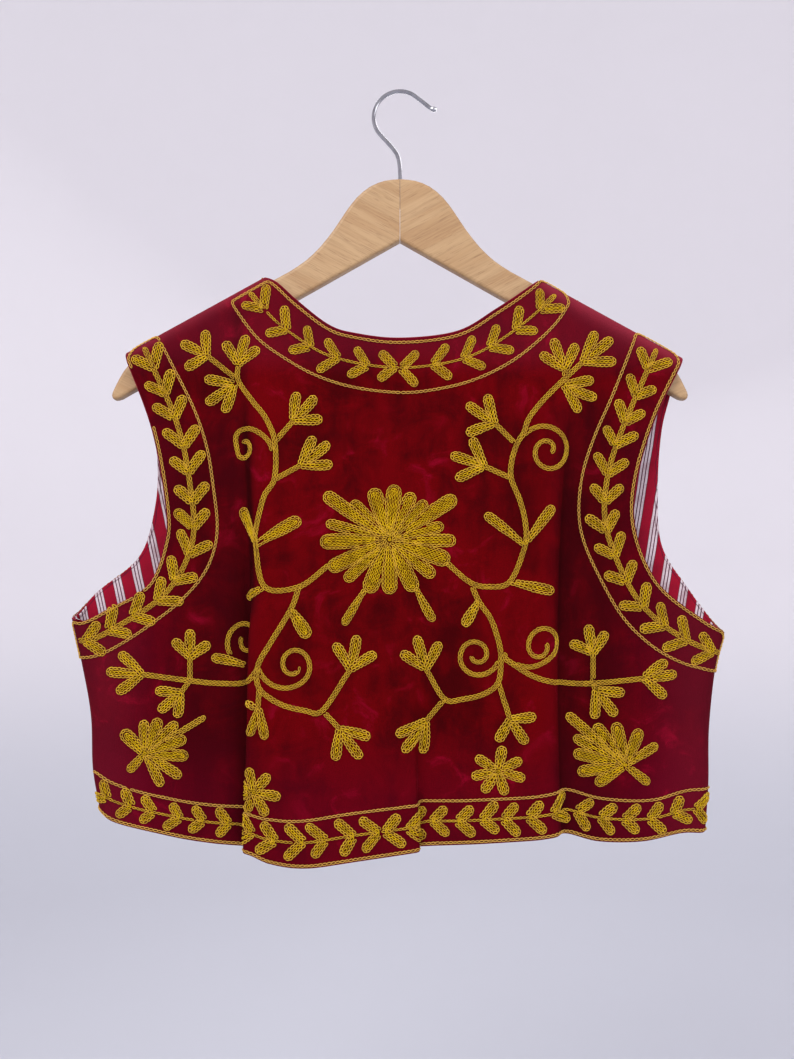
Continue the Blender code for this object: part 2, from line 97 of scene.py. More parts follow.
def spline(points, steps=24):
    # Dense Catmull-Rom line: each stretch is a cubic through its two ends, aimed by their neighbours
    knots = np.array(points, float)
    knots = np.vstack([2 * knots[0] - knots[1], knots, 2 * knots[-1] - knots[-2]])
    a, b, c, d = knots[:-3], knots[1:-2], knots[2:-1], knots[3:]
    u = np.linspace(0, 1, steps, endpoint=False)[:, None, None]
    dense = b + ((c - a) * u + (2 * a - 5 * b + 4 * c - d) * u**2 + (3 * b - a - 3 * c + d) * u**3) / 2
    return np.vstack([dense.transpose(1, 0, 2).reshape(-1, knots.shape[1]), knots[-2:-1]])


def lengthsOf(line):
    # Distance along a line of points at each of them
    return np.concatenate([[0], np.cumsum(np.linalg.norm(np.diff(line, axis=0), axis=1))])


def pointsAt(dense, lengths, marks):
    # X and Z of a line at these distances along it
    return np.stack([np.interp(marks, lengths, dense[:, axis]) for axis in (0, 1)])


def along(points):
    # The place at each share of a line's length
    dense = spline(points)
    lengths = lengthsOf(dense)
    shares = lengths / lengths[-1]
    return lambda u: pointsAt(dense, shares, u)


def heightAt(points, x):
    # Z of a line that runs across, at an x
    dense = spline(points)
    return np.interp(x, dense[:, 0], dense[:, 1])


def seamX(points, z):
    # X of a line that runs up from the hem, at a height
    dense = spline(points)
    return np.interp(z, dense[:, 1], dense[:, 0])


def isInside(outline, points):
    # Even-odd rule: a point is inside where an odd number of the outline's edges lie to its right
    x0, z0 = outline.T
    x1, z1 = np.roll(outline, -1, axis=0).T
    px, pz = points[:, 0, None], points[:, 1, None]
    crosses = (z0 > pz) != (z1 > pz)
    rise = np.where(z1 == z0, 1e-12, z1 - z0)
    return (crosses & (px < x0 + (pz - z0) * (x1 - x0) / rise)).sum(axis=1) % 2 == 1


def nearestOf(points, others):
    # Distance from each point to the nearest of the others
    return np.linalg.norm(points[:, None] - others, axis=2).min(axis=1)


# ---- the vest's cut and its relief, on the CAD's own sizes ----
velvet, lining, seamHalfGap = 2.0 * mm, 1.0 * mm, 0.01 * mm
liningSetback = velvet + 0.5 * mm
clothStack = liningSetback + lining
armCorner, armEdge, armGap = 3, 3, 0.75  # of the hanger's arms in the shoulders, in mm
ridge = {
    "radius": (math.hypot(armCorner, armCorner) + armEdge + armGap) * mm + clothStack,
    "slope": 0.549, "cosine": 0.877, "x": 107 * mm, "z": -145.3 * mm,
}
body = {
    "sideRound": 12 * mm, "swell": 1.6 * mm, "swellLength": 90 * mm, "underarmRow": 0.40,
    "backWidth": 474 * mm, "frontWidth": 214 * mm, "height": 400 * mm,
}
level = {"hem": -588 * mm, "top": -158 * mm}


def shoulderHeight(x):
    # Z of the shoulders, which slope down both ways from the neck
    return ridge["z"] - ridge["slope"] * (np.abs(x) - ridge["x"])


def rows(*pairs):
    # Places in mm as places in metres
    return [(x * mm, z * mm) for x, z in pairs]


def onShoulder(xMm):
    # The place on the shoulder at an x in mm
    return (xMm * mm, float(shoulderHeight(xMm * mm)))


leftHem, rightHem = rows((-235, -560), (239, -577))
leftUnderarm, rightUnderarm = rows((-257, -411), (254, -423))
leftTip, rightTip, leftNeck, rightNeck = (onShoulder(x) for x in (-214, 220.7, -106.4, 110))
leftCorner, rightCorner = rows((-26, -572), (26, -572))
line = {
    "leftSide": [leftHem, *rows((-240.5, -528), (-242, -487), (-249, -447)), leftUnderarm],
    "rightSide": [rightHem, *rows((241.5, -540), (242, -497), (247, -450)), rightUnderarm],
    "leftBackArmhole": [leftUnderarm, *rows(
        (-245, -413.5), (-221, -401.5), (-202, -391.5), (-190.5, -380), (-182.5, -357), (-180, -330),
        (-191, -266)), leftTip],
    "rightBackArmhole": [
        rightUnderarm, *rows((233, -411), (199, -383), (182, -343), (182.5, -305), (197, -256)), rightTip],
    "leftFrontArmhole": [leftUnderarm, *rows(
        (-240, -392), (-207, -364), (-194.5, -325), (-192.5, -285), (-201, -240)), leftTip],
    "rightFrontArmhole": [
        rightUnderarm, *rows((230, -391), (208, -355), (204.7, -308), (207.5, -264), (214, -236)), rightTip],
    "neck": [leftNeck, *rows(
        (-94.5, -152), (-79, -166), (-55, -184.5), (-35, -191), (0, -194.8), (44, -189.5), (74, -172.3),
        (98, -156.3)), rightNeck],
    "leftFrontEdge": [leftCorner, *rows(
        (-20, -500), (-16, -420), (-15, -372), (-34, -320), (-66, -250), (-94, -182)), leftNeck],
    "rightFrontEdge": [rightCorner, *rows(
        (20, -500), (16, -420), (15, -372), (35, -320), (68, -250), (97, -184)), rightNeck],
    "backHem": [leftHem, *rows(
        (-219, -568.5), (-187, -576.5), (-150, -584), (-124, -586.5), (-106, -589), (-92, -596),
        (-72, -599.5), (-40, -595.5), (2, -588.5), (22, -585.5), (60, -583), (100, -579.5), (128, -576),
        (155, -582.5), (188, -582.5), (219, -576)), rightHem],
    "leftFrontHem": [
        leftHem, *rows((-219, -568), (-180, -577), (-110, -583), (-50, -584), (-34, -581)), leftCorner],
    "rightFrontHem": [
        rightHem, *rows((215, -577), (165, -581), (105, -584), (50, -584), (34, -581)), rightCorner],
}

# Upright lines of the back: share of the way across, x at the hem, x at the top, bow half way up
guides = {
    "leftEdge": (0.00, leftHem[0], leftTip[0], 0.0),
    "pleat": (0.25, -117 * mm, -128 * mm, 8.5 * mm),
    "leftNeck": (0.30, -98 * mm, leftNeck[0], 4 * mm),
    "flute": (0.52, 14 * mm, 8 * mm, 0.0),
    "rightNeck": (0.71, 103 * mm, rightNeck[0], -4 * mm),
    "ridge": (0.76, 123.5 * mm, 137 * mm, -9 * mm),
    "rightEdge": (1.00, rightHem[0], rightTip[0], 0.0),
}
# Folds of the back: cloth in one, how far it has turned at its middle, in degrees, this far down in mm, and
# how far to its right the lining steps
folds = {
    "pleat": {
        "length": 22 * mm, "down": (205, 250, 330, 390, 425, 450), "turn": (0, 21, 46, 74, 138, 150),
        "shift": 12 * mm,
    },
    "flute": {"length": 15 * mm, "down": (430, 500, 585), "turn": (0, 50, 130), "shift": -12 * mm},
    "ridge": {"length": 22 * mm, "down": (205, 250, 330, 420), "turn": (0, 20, 56, 60), "shift": -12 * mm},
}
drape = {
    "leastTurn": 1, "middleShare": 0.65, "fluteRise": 0.35, "takeUpFade": 45 * mm, "liningStep": 16 * mm,
    "creaseDepth": 2.2 * mm, "creaseWidth": 7 * mm,
    "creaseSpan": (-205 * mm, -250 * mm, -370 * mm, -420 * mm),
}
# Soft upright flutes of the fronts, in mm: x at the top and at the hem, half width, height, and the heights
# where they start and are full
frontFlutes = [
    (-168, -182, 26, 2.6, -240, -420), (-104, -112, 20, -1.8, -230, -470), (-62, -58, 24, 3.0, -330, -520),
    (62, 66, 26, 2.8, -320, -500), (112, 124, 20, -1.6, -250, -460), (170, 180, 28, 3.0, -260, -440),
]
# Creases in the velvet, from one place to another: x, z, x, z, half width and height, all in mm
backCreases = [
    (-176, -180, -150, -262, 9, 0.9), (-150, -196, -128, -290, 7, -0.7), (-214, -452, -150, -470, 8, 0.8),
    (-236, -470, -176, -512, 10, 0.9), (-228, -506, -168, -532, 7, -0.6), (-98, -515, -66, -588, 9, 1.1),
    (-72, -500, -30, -590, 11, -0.8), (-12, -470, -4, -575, 7, 1.2), (44, -520, 52, -580, 9, 0.9),
    (80, -480, 96, -574, 12, 0.9), (168, -455, 236, -482, 8, 0.9), (160, -500, 232, -528, 10, 0.8),
    (176, -188, 158, -268, 9, 0.9), (150, -190, 146, -300, 8, -0.8), (196, -540, 204, -580, 10, 1.2),
    (-200, -535, -196, -572, 11, 1.1), (-64, -232, 40, -246, 12, 0.7), (-20, -300, 62, -330, 14, -0.5),
    (-131, -160, -124, -238, 5, -1.6), (-143, -166, -137, -215, 6, 1.2),
]
frontCreases = [
    (-150, -200, -172, -300, 10, 0.8), (-236, -450, -170, -486, 9, 1.0), (-96, -240, -60, -330, 10, 0.8),
    (-44, -400, -74, -470, 9, 0.9), (-200, -520, -150, -560, 10, 0.9), (-30, -470, -52, -575, 10, -0.8),
    (150, -200, 176, -296, 10, 0.8), (236, -462, 166, -492, 9, 1.0), (100, -236, 62, -338, 10, 0.9),
    (42, -396, 80, -476, 9, 0.8), (206, -526, 148, -566, 10, 1.0), (34, -480, 56, -572, 10, -0.8),
]


def creaseHeight(table, x, z):
    # Each crease is a bell across its line, and swells along it as half a sine wave
    height = np.zeros_like(x)
    for x0, z0, x1, z1, halfWidth, rise in table:
        dx, dz = (x1 - x0) * mm, (z1 - z0) * mm
        length = math.hypot(dx, dz)
        run = ((x - x0 * mm) * dx + (z - z0 * mm) * dz) / length**2
        off = ((x - x0 * mm) * dz - (z - z0 * mm) * dx) / length
        height = height + rise * mm * bell(off, halfWidth * mm) * np.sin(math.pi * np.clip(run, 0, 1))
    return height


def bodyDepth(x, z):
    # Depth from the middle plane before folds, and the share of it left near the ridge and the side seams
    below = (shoulderHeight(x) - z) * math.cos(math.atan(ridge["slope"]))
    depth = ridge["radius"] + body["swell"] * ease(below / body["swellLength"])
    closing = quarterRound(below / ridge["radius"])
    closing = closing * quarterRound((x - seamX(line["leftSide"], z)) / body["sideRound"])
    return depth, closing * quarterRound((seamX(line["rightSide"], z) - x) / body["sideRound"])


def upShare(z):
    # Share of the way from the hem's level to the top's
    return (z - level["hem"]) / (level["top"] - level["hem"])


def guideX(name, z):
    # X of an upright line: straight from the hem to the top, with its bow as half a sine wave
    hemX, topX, bow = guides[name][1:]
    up = upShare(z)
    return (1 - up) * hemX + up * topX + bow * np.sin(math.pi * up)


def foldLine(turn, share, samples=24):
    # Place along a fold of unit length whose heading goes to turn at its middle and back, as sin squared
    parts = (np.arange(samples) + 0.5) / samples
    heading = turn[..., None] * np.sin(math.pi * share[..., None] * parts) ** 2
    return share * np.cos(heading).mean(axis=-1), share * np.sin(heading).mean(axis=-1)


def backRelief(x, z, isLining=False):
    # Outer face of the back over the flat place (x, z): the body's depth, with the pleat, flute and ridge
    past, step = {}, {}
    shift = np.zeros_like(x)
    for name, fold in folds.items():
        turn = np.radians(drape["leastTurn"] + np.interp(-z / mm, fold["down"], fold["turn"]))
        fromLine = x - guideX(name, z)
        share = np.clip(fromLine / fold["length"] + 0.5, 0, 1)
        run, rise = foldLine(turn, share)
        fullRun, fullRise = foldLine(turn, np.ones_like(x))
        step[name] = fold["length"] * fullRise
        if isLining:
            past[name] = ease((fromLine - fold["shift"]) / drape["liningStep"] + 0.5)
            continue
        past[name] = rise / fullRise
        beyond = np.abs(fromLine) - fold["length"] / 2
        takenUp = fold["length"] * (run - fullRun / 2 - share + 0.5)
        shift = shift + takenUp * (1 - ease(beyond / drape["takeUpFade"]))
    depth, closing = bodyDepth(x, z)
    pleatX, fluteX, ridgeX = (guideX(name, z) for name in folds)
    toFlute = np.clip((x - pleatX) / (fluteX - pleatX), 0, 1)
    toRidge = np.clip((x - fluteX) / (ridgeX - fluteX), 0, 1)
    beforeFlute = drape["middleShare"] * step["pleat"] + drape["fluteRise"] * step["flute"]
    leftHalf = step["pleat"] * (1 - toFlute) + beforeFlute * toFlute
    rightHalf = (beforeFlute - step["flute"]) * (1 - toRidge) + step["ridge"] * toRidge
    depth = depth + past["pleat"] * (1 - past["flute"]) * leftHalf
    depth = depth + past["flute"] * (1 - past["ridge"]) * rightHalf
    starts, full, fading, gone = drape["creaseSpan"]
    crease = drape["creaseDepth"] * bell(x - pleatX, drape["creaseWidth"])
    depth = depth - crease * fade(z, starts, full) * (1 - fade(z, fading, gone))
    depth = depth + creaseHeight(backCreases, x, z)
    return np.stack([x + shift, -depth * closing, z], axis=-1)


def frontRelief(x, z):
    # Outer face of a front over the flat place (x, z): the body's depth with soft flutes as bells
    depth, closing = bodyDepth(x, z)
    up = upShare(z)
    for topX, hemX, halfWidth, height, starts, full in frontFlutes:
        lineX = ((1 - up) * hemX + up * topX) * mm
        depth = depth + height * mm * bell(x - lineX, halfWidth * mm) * fade(z, starts * mm, full * mm)
    depth = depth + creaseHeight(frontCreases, x, z)
    return np.stack([x, depth * closing, z], axis=-1)


def edgeOf(side, armhole):
    # A panel's outer edge: up the side seam, then round the armhole to the shoulder's tip
    sideAt, armholeAt = along(line[side]), along(line[armhole])

    def place(t):
        low = sideAt(np.clip(t / body["underarmRow"], 0, 1))
        high = armholeAt(np.clip((t - body["underarmRow"]) / (1 - body["underarmRow"]), 0, 1))
        return np.where(t < body["underarmRow"], low, high)

    return place


def backPlace(s, t):
    # Flat place s of the way across the back and t of the way up: a ruled net, pulled to its two edges
    across = [guide[0] for guide in guides.values()]
    hemX, topX, bow = (np.interp(s, across, [guide[n] for guide in guides.values()]) for n in (1, 2, 3))
    isOnShoulder = (topX < leftNeck[0]) | (topX > rightNeck[0])
    topZ = np.where(isOnShoulder, shoulderHeight(topX), heightAt(line["neck"], topX))
    x = (1 - t) * hemX + t * topX + bow * np.sin(math.pi * t)
    z = (1 - t) * heightAt(line["backHem"], hemX) + t * topZ
    left, right = guides["pleat"][0], guides["ridge"][0]
    edges = (
        (edgeOf("leftSide", "leftBackArmhole"), 1 - s / left),
        (edgeOf("rightSide", "rightBackArmhole"), (s - right) / (1 - right)),
    )
    for edge, nearness in edges:
        straight = (1 - t) * edge(np.zeros_like(t)) + t * edge(np.ones_like(t))
        dx, dz = (edge(t) - straight) * np.clip(nearness, 0, 1)
        x, z = x + dx, z + dz
    return x, z


def frontPlace(side, s, t):
    # Flat place on a front: a Coons patch between its side, front edge, hem and shoulder
    armhole, frontEdge, hem = line[side + "FrontArmhole"], line[side + "FrontEdge"], line[side + "FrontHem"]
    outer, inner = edgeOf(side + "Side", side + "FrontArmhole")(t), along(frontEdge)(t)
    topX = (1 - s) * armhole[-1][0] + s * frontEdge[-1][0]
    low, high = along(hem)(s), np.stack([topX, shoulderHeight(topX)])
    place = (1 - s) * outer + s * inner + (1 - t) * low + t * high
    corners = (hem[0], hem[-1], armhole[-1], frontEdge[-1])
    shares = ((1 - s) * (1 - t), s * (1 - t), (1 - s) * t, s * t)
    return place - sum(np.multiply.outer(corner, share) for corner, share in zip(corners, shares))


def normalsOf(relief, x, z):
    # Unit normals of a relief, which look along -Y on flat cloth, from places a little to each side
    nudge = 0.05 * mm
    alongX = relief(x + nudge, z) - relief(x - nudge, z)
    alongZ = relief(x, z + nudge) - relief(x, z - nudge)
    return unit(np.cross(alongX, alongZ))


# ---- meshes ----
def newPiece(name, points, faces, material, uv=None, marks=None):
    # A smooth mesh of four-sided faces at the origin, with a UV and marks that are given per point
    mesh = bpy.data.meshes.new(name)
    mesh.vertices.add(len(points))
    mesh.vertices.foreach_set("co", np.ascontiguousarray(points, dtype=np.float32).ravel())
    mesh.loops.add(faces.size)
    mesh.loops.foreach_set("vertex_index", np.ascontiguousarray(faces, dtype=np.int32).ravel())
    mesh.polygons.add(len(faces))
    mesh.polygons.foreach_set("loop_start", np.arange(0, faces.size, 4, dtype=np.int32))
    mesh.polygons.foreach_set("use_smooth", np.ones(len(faces), dtype=bool))
    mesh.update(calc_edges=True)
    if uv is not None:
        layer = mesh.uv_layers.new(name="cut")
        layer.data.foreach_set("uv", uv[faces.ravel()].astype(np.float32).ravel())
    for mark, values in (marks or {}).items():
        attribute = mesh.attributes.new(mark, "FLOAT", "POINT")
        attribute.data.foreach_set("value", np.ascontiguousarray(values, dtype=np.float32))
    mesh.materials.append(material)
    piece = bpy.data.objects.new(name, mesh)
    scene.collection.objects.link(piece)
    return piece


def netFaces(number):
    # Four-sided faces between the rows of a net of point numbers
    corners = number[:-1, :-1], number[:-1, 1:], number[1:, 1:], number[1:, :-1]
    return np.stack(corners, axis=-1).reshape(-1, 4)


def edgeRing(net):
    # The values round the edge of a net, in order
    return np.concatenate([net[0, :-1], net[:-1, -1], net[-1, :0:-1], net[:0:-1, 0]])


def nextRing(net):
    # The values one row inside each of those
    return np.concatenate([net[1, :-1], net[:-1, -2], net[-2, :0:-1], net[:0:-1, 1]])


def facingOut(points, faces):
    # The faces of a closed mesh, turned over where the sum of their corners' triple products, six times its
    # volume, is negative
    a, b, c, d = (points[faces[:, n]] for n in range(4))
    return faces[:, ::-1] if (a * (np.cross(b, c) + np.cross(c, d))).sum() < 0 else faces


# Bulge of the cloth's edges, which starts and grows these distances from the middle plane
edgeRoll = {"velvet": 0.9 * mm, "lining": 0.3 * mm, "starts": 3, "grows": 4, "angles": (45, 90, 135)}


def clothWall(place, relief, outward, across, up, depths, roll):
    # One closed piece of cloth: two nets at two depths under the relief, and an edge that bulges by roll
    s, t = np.meshgrid(across, up)
    x, z = place(s, t)
    inward = outward * normalsOf(relief, x, z)
    outer, inner = (relief(x, z) + depth * inward for depth in depths)
    for layer in (outer, inner):
        layer[..., 1] = outward * np.maximum(outward * layer[..., 1], seamHalfGap)
    outDir = unit(edgeRing(outer) - nextRing(outer))
    free = grow(np.abs(edgeRing(outer)[:, 1:2]), edgeRoll["starts"], edgeRoll["grows"])
    middle = (edgeRing(outer) + edgeRing(inner)) / 2
    half = edgeRing(outer) - middle
    rings = [
        middle + half * math.cos(angle) + outDir * roll * free * math.sin(angle)
        for angle in np.radians(edgeRoll["angles"])
    ]
    points = np.concatenate([outer.reshape(-1, 3), inner.reshape(-1, 3), *rings])
    number = np.arange(2 * x.size).reshape(2, *x.shape)
    ringNumber = 2 * x.size + np.arange(len(rings) * len(middle)).reshape(len(rings), -1)
    rim = np.stack([edgeRing(number[1]), *ringNumber[::-1], edgeRing(number[0])])
    rim = np.concatenate([rim, rim[:, :1]], axis=1)
    faces = np.concatenate([netFaces(number[0]), netFaces(number[1])[:, ::-1], netFaces(rim)])
    flat = np.stack([x, z], axis=-1)
    uv = np.concatenate([flat.reshape(-1, 2), flat.reshape(-1, 2), *[edgeRing(flat)] * len(rings)])
    return points, facingOut(points, faces), uv


# Columns and rows of each net, and how many more go round edges, over folds and by the underarm and shoulder
detail = {
    "back": (150, 120), "backLining": (75, 60), "front": (84, 110), "frontLining": (42, 55), "rim": 9,
    "folds": (("pleat", 30), ("flute", 22), ("ridge", 20)), "foldReach": 0.55,
    "underarm": (0.38, 0.45, 12), "shoulder": (0.0004, 0.012, 6), "lastEvenRow": 0.96,
}


def places(*groups):
    # Shares of the way across or up, in order and each once
    return np.unique(np.round(np.concatenate(groups), 5))


def rimPlaces(radius, span):
    # Columns or rows round a quarter-round edge, even round its angle
    return radius * (1 - np.cos(np.linspace(0, math.pi / 2, detail["rim"]))) / span


def rowPlaces(count):
    # Rows of any panel, closer at the underarm, over the shoulder's round and at its very edge
    ridgeRows = rimPlaces(ridge["radius"], body["height"]) / ridge["cosine"]
    low, high, steps = detail["underarm"]
    even = np.linspace(0, detail["lastEvenRow"], count)
    return places(even, np.linspace(low, high, steps), 1 - ridgeRows, 1 - np.geomspace(*detail["shoulder"]))


def backColumns(count, isLining=False):
    # Columns of the back, closer round the side seams and, on the velvet, even along the cloth of each fold
    seam = rimPlaces(body["sideRound"], body["backWidth"])
    closer = [seam, 1 - seam]
    for name, steps in () if isLining else detail["folds"]:
        reach = np.linspace(-detail["foldReach"], detail["foldReach"], steps)
        closer.append(guides[name][0] + reach * folds[name]["length"] / body["backWidth"])
    return places(np.linspace(0, 1, count), *closer)


def frontColumns(count):
    # Columns of a front, closer round its side seam
    return places(np.linspace(0, 1, count), rimPlaces(body["sideRound"], body["frontWidth"]))


# ---- materials ----
class Shade:
    # One output socket of a node, with the sums that can be done on it
    def __init__(self, tree, socket=None):
        self.tree = tree
        self.socket = socket

    def node(self, kind, values=None, out=0, **settings):
        # Adds a node, sets its settings, then fills its inputs by name or number with values or other sockets
        made = self.tree.nodes.new("ShaderNode" + kind)
        for key, value in settings.items():
            setattr(made, key, value)
        for key, value in (values or {}).items():
            if isinstance(value, Shade):
                self.tree.links.new(value.socket, made.inputs[key])
            else:
                made.inputs[key].default_value = value
        return Shade(self.tree, made.outputs[out]) if made.outputs else None

    def sum(self, operation, *others):
        return self.node("Math", dict(enumerate((self, *others))), operation=operation)

    def __rsub__(self, other):
        return self.node("Math", {0: other, 1: self}, operation="SUBTRACT")

    __add__ = __radd__ = partialmethod(sum, "ADD")
    __mul__ = partialmethod(sum, "MULTIPLY")
    __sub__ = partialmethod(sum, "SUBTRACT")
    __truediv__ = partialmethod(sum, "DIVIDE")

    def between(self, low, high):
        # 0 below low, 1 above high, smooth between them
        ends = {"Value": self, "From Min": low, "From Max": high}
        return self.node("MapRange", ends, interpolation_type="SMOOTHSTEP")

    def band(self, low, high, edge):
        # 1 from low to high, 0 outside them, smooth for this much on both sides of each
        return self.between(low - edge, low + edge) * (1 - self.between(high - edge, high + edge))

    def mark(self, name):
        # A value that the mesh keeps at each point
        return self.node("Attribute", out=2, attribute_name=name)

    def cut(self):
        # The flat place on the cut cloth
        return self.node("UVMap", uv_map="cut")

    def axis(self, n):
        # One number of this place
        return self.node("SeparateXYZ", {0: self}, out=n)

    def stretched(self, scale=(1, 1, 1), turn=(0, 0, 0)):
        # This place turned by angles about the axes and scaled along them
        return self.node("Mapping", {"Vector": self, "Scale": scale, "Rotation": turn})

    def noise(self, scale, detail=4.0, roughness=0.55, distortion=0.0):
        values = {"Scale": scale, "Detail": detail, "Roughness": roughness, "Distortion": distortion}
        return self.node("TexNoise", {"Vector": self, **values})


def layered(base, *coats):
    # A colour under coats, each of them a mask and the colour it brings
    for mask, coat in coats:
        first, second = (colour if isinstance(colour, Shade) else (*colour, 1) for colour in (base, coat))
        base = mask.node("Mix", {0: mask, 6: first, 7: second}, out=2, data_type="RGBA")
    return base


def newMaterial(name):
    material = bpy.data.materials.new(name)
    material.use_nodes = True
    material.node_tree.nodes.clear()
    return material, Shade(material.node_tree)


def surfaceOf(shade, base, roughness, others, bump=None):
    # The Principled shader with these inputs, joined to the output; a bump has height, strength and distance
    values = {"Base Color": base, "Roughness": roughness, **others}
    if bump:
        values["Normal"] = shade.node("Bump", dict(zip(("Height", "Strength", "Distance"), bump)))
    shade.node("OutputMaterial", {"Surface": shade.node("BsdfPrincipled", values)})


# Colours of the velvet: rim is a painted sheen highlight; plum and dark are painted shade
velvetLook = {
    "deep": (0.036, 0.0001, 0.0010), "red": (0.122, 0.0002, 0.0016), "crushed": (0.27, 0.001, 0.019),
    "rim": (0.34, 0.035, 0.06), "plum": (0.100, 0.0006, 0.009), "dark": (0.016, 0.0001, 0.0008),
    "clouds": (11, 3, 0.5, 0.4), "patches": (42, 5, 0.62, 0.8), "pile": (1500, 2, 0.6),
    "strokes": (1.0, 4, 0.6), "strokeScale": (60, 13, 1), "strokeTurn": (0, 0, 0.25), "brushed": (0.38, 0.62),
    "crushedPatch": (0.54, 0.74), "crushedCloud": (0.42, 0.60), "crushing": 0.7, "tips": (0.3, 0.7),
    "sheen": {"Sheen Weight": 0.36, "Sheen Roughness": 0.16, "Sheen Tint": (1.0, 0.06, 0.10, 1)},
}


def velvetMaterial():
    # Pile that lies this way and that: wide clouds, brushed strokes down the cloth and crushed patches; the
    # mesh's marks add painted light, painted shade and a painted sheen highlight
    material, shade = newMaterial("crimsonVelvet")
    look, place = velvetLook, shade.cut()
    clouds, patches, pile = (place.noise(*look[name]) for name in ("clouds", "patches", "pile"))
    strokes = place.stretched(look["strokeScale"], look["strokeTurn"]).noise(*look["strokes"])
    brushed = (clouds * 0.45 + strokes * 0.25 + patches * 0.30).between(*look["brushed"])
    crushed = patches.between(*look["crushedPatch"]) * clouds.between(*look["crushedCloud"])
    crushed = crushed * look["crushing"]
    # Layers: brighter red where brushed and where light is painted, painted shade, crushed patches, painted
    # shade in the hollows, the painted sheen highlight on rims, and dark pile tips
    base = layered(
        look["deep"],
        ((brushed * 0.8 + shade.mark("nap") * 0.5 - 0.1).between(0.0, 1.0), look["red"]),
        (shade.mark("plum"), look["plum"]),
        (crushed, look["crushed"]),
        (shade.mark("hollow"), look["dark"]),
        (shade.mark("rim") * 0.7, look["rim"]),
        (pile.between(*look["tips"]) * 0.3, look["deep"]),
    )
    height = pile * 0.35 + strokes * 0.5 + patches * 0.6
    others = {**look["sheen"], "Specular IOR Level": 0.03}
    surfaceOf(shade, base, 0.86 - crushed * 0.2, others, (height, 0.5, 0.0012))
    return material


# Colours of the thread, with painted shade for a loop's underside and for the grooves between strands
threadLook = {
    "gold": (1.0, 0.66, 0.010), "olive": (0.56, 0.35, 0.008), "tan": (0.84, 0.45, 0.13),
    "under": (0.15, 0.070, 0.005), "groove": (0.25, 0.13, 0.008), "windings": 44, "fullTurn": 6.283,
}


def threadMaterial():
    # Twisted thread: strands wind round it as a sine, with painted shade in the grooves between them and on
    # the underside of each loop, and each stitch has its own tone
    material, shade = newMaterial("goldThread")
    look, place = threadLook, shade.cut()
    winding = place.axis(0) * look["windings"] + place.axis(1) * look["fullTurn"]
    strand = winding.sum("SINE") * 0.5 + 0.5
    base = layered(
        look["olive"], (shade.mark("tone"), look["gold"]), (shade.mark("tan"), look["tan"]),
        (strand * 0.25, look["groove"]), (shade.mark("under") * 0.75, look["under"]),
    )
    surfaceOf(shade, base, 0.62 + strand * 0.15, {"Specular IOR Level": 0.08}, (strand, 0.4, 0.0002))
    return material


stripe = {
    "ground": (0.32, 0.0015, 0.020), "white": (0.74, 0.64, 0.68), "dark": (0.05, 0.010, 0.03),
    "shade": (0.12, 0.002, 0.012), "worn": (0.14, 0.001, 0.012), "group": 7.6 * mm, "linesInHalf": 1.5,
    "hem": 2.2 * mm, "hemEdge": 0.25 * mm, "hemStep": 0.3 * mm, "wobble": 0.0012,
    "warp": (2600, 500, 1), "weft": (500, 2600, 1),
}


def cottonMaterial(name, tilt, repeat, phase):
    # Groups of white stripes parted by fine dark lines on a red ground, in a plain weave, and the turned-in
    # edge round the armhole. A place's share is its turned x over the repeat, less whole numbers.
    material, shade = newMaterial(name)
    look, place, turn = stripe, shade.cut(), (0, 0, math.radians(tilt))
    x = place.stretched(turn=turn).axis(0) + place.noise(30, 2) * look["wobble"]
    share = (x / (repeat * math.cos(turn[2])) + 40 + phase).sum("FRACT")
    half = look["group"] / repeat / 2
    lines = ((share - 0.5 + half) * look["linesInHalf"] / half).sum("FRACT")
    fromEdge, hem = shade.mark("fromArmhole"), look["hem"]
    warp, weft = (place.stretched(look[way], turn).noise(1.0, 2) for way in ("warp", "weft"))
    weave = warp * 0.5 + weft * 0.5
    white = layered(look["dark"], (lines.band(0.14, 0.82, 0.06), look["white"]))
    base = layered(
        look["ground"],
        (share.band(0.5 - half, 0.5 + half, 0.01), white),
        (fromEdge.band(hem - look["hemEdge"], hem + look["hemEdge"], look["hemEdge"]) * 0.8, look["dark"]),
        (weave.between(0.35, 0.65) * 0.35, look["shade"]),
        (place.noise(60, 3).between(0.45, 0.75) * 0.4, look["worn"]),
    )
    height = weave * 0.5 - fromEdge.between(hem - look["hemStep"], hem + look["hemStep"]) * 0.8
    surfaceOf(shade, base, 0.8, {"Specular IOR Level": 0.15}, (height, 0.5, 0.0005))
    return material


# Each grain has its scale along the arm, across it and up, and its noise
woodLook = {
    "pale": (0.43, 0.275, 0.135), "warm": (0.37, 0.218, 0.098), "dark": (0.18, 0.090, 0.036), "slope": 28.0,
    "bands": ((7, 30, 75), (1.0, 3, 0.5, 0.7)), "lines": ((24, 300, 620), (1.0, 3, 0.6)),
    "pores": ((90, 900, 1500), (1.0, 1, 0.5)),
}


def woodMaterial(name, side):
    # Long grain down one arm: wide bands, fine lines and short dark pores, all stretched along the arm
    material, shade = newMaterial(name)
    look = woodLook
    place = shade.node("TexCoord", out=3).stretched(turn=(0, math.radians(look["slope"]) * side, 0))
    grains = (look[grain] for grain in ("bands", "lines", "pores"))
    bands, lines, pores = (place.stretched(scale).noise(*noise) for scale, noise in grains)
    base = layered(
        look["pale"],
        (bands.between(0.35, 0.66), look["warm"]),
        (lines.between(0.42, 0.66) * 0.28, look["dark"]),
        (pores.between(0.60, 0.72) * 0.45, look["dark"]),
    )
    height = lines * 0.5 - pores.between(0.6, 0.7)
    others = {"Coat Weight": 0.12, "Coat Roughness": 0.35, "Specular IOR Level": 0.4}
    surfaceOf(shade, base, 0.46 + lines * 0.12, others, (height, 0.15, 0.0004))
    return material


chromeLook = {"bright": (0.40, 0.40, 0.42), "dull": (0.30, 0.30, 0.32)}


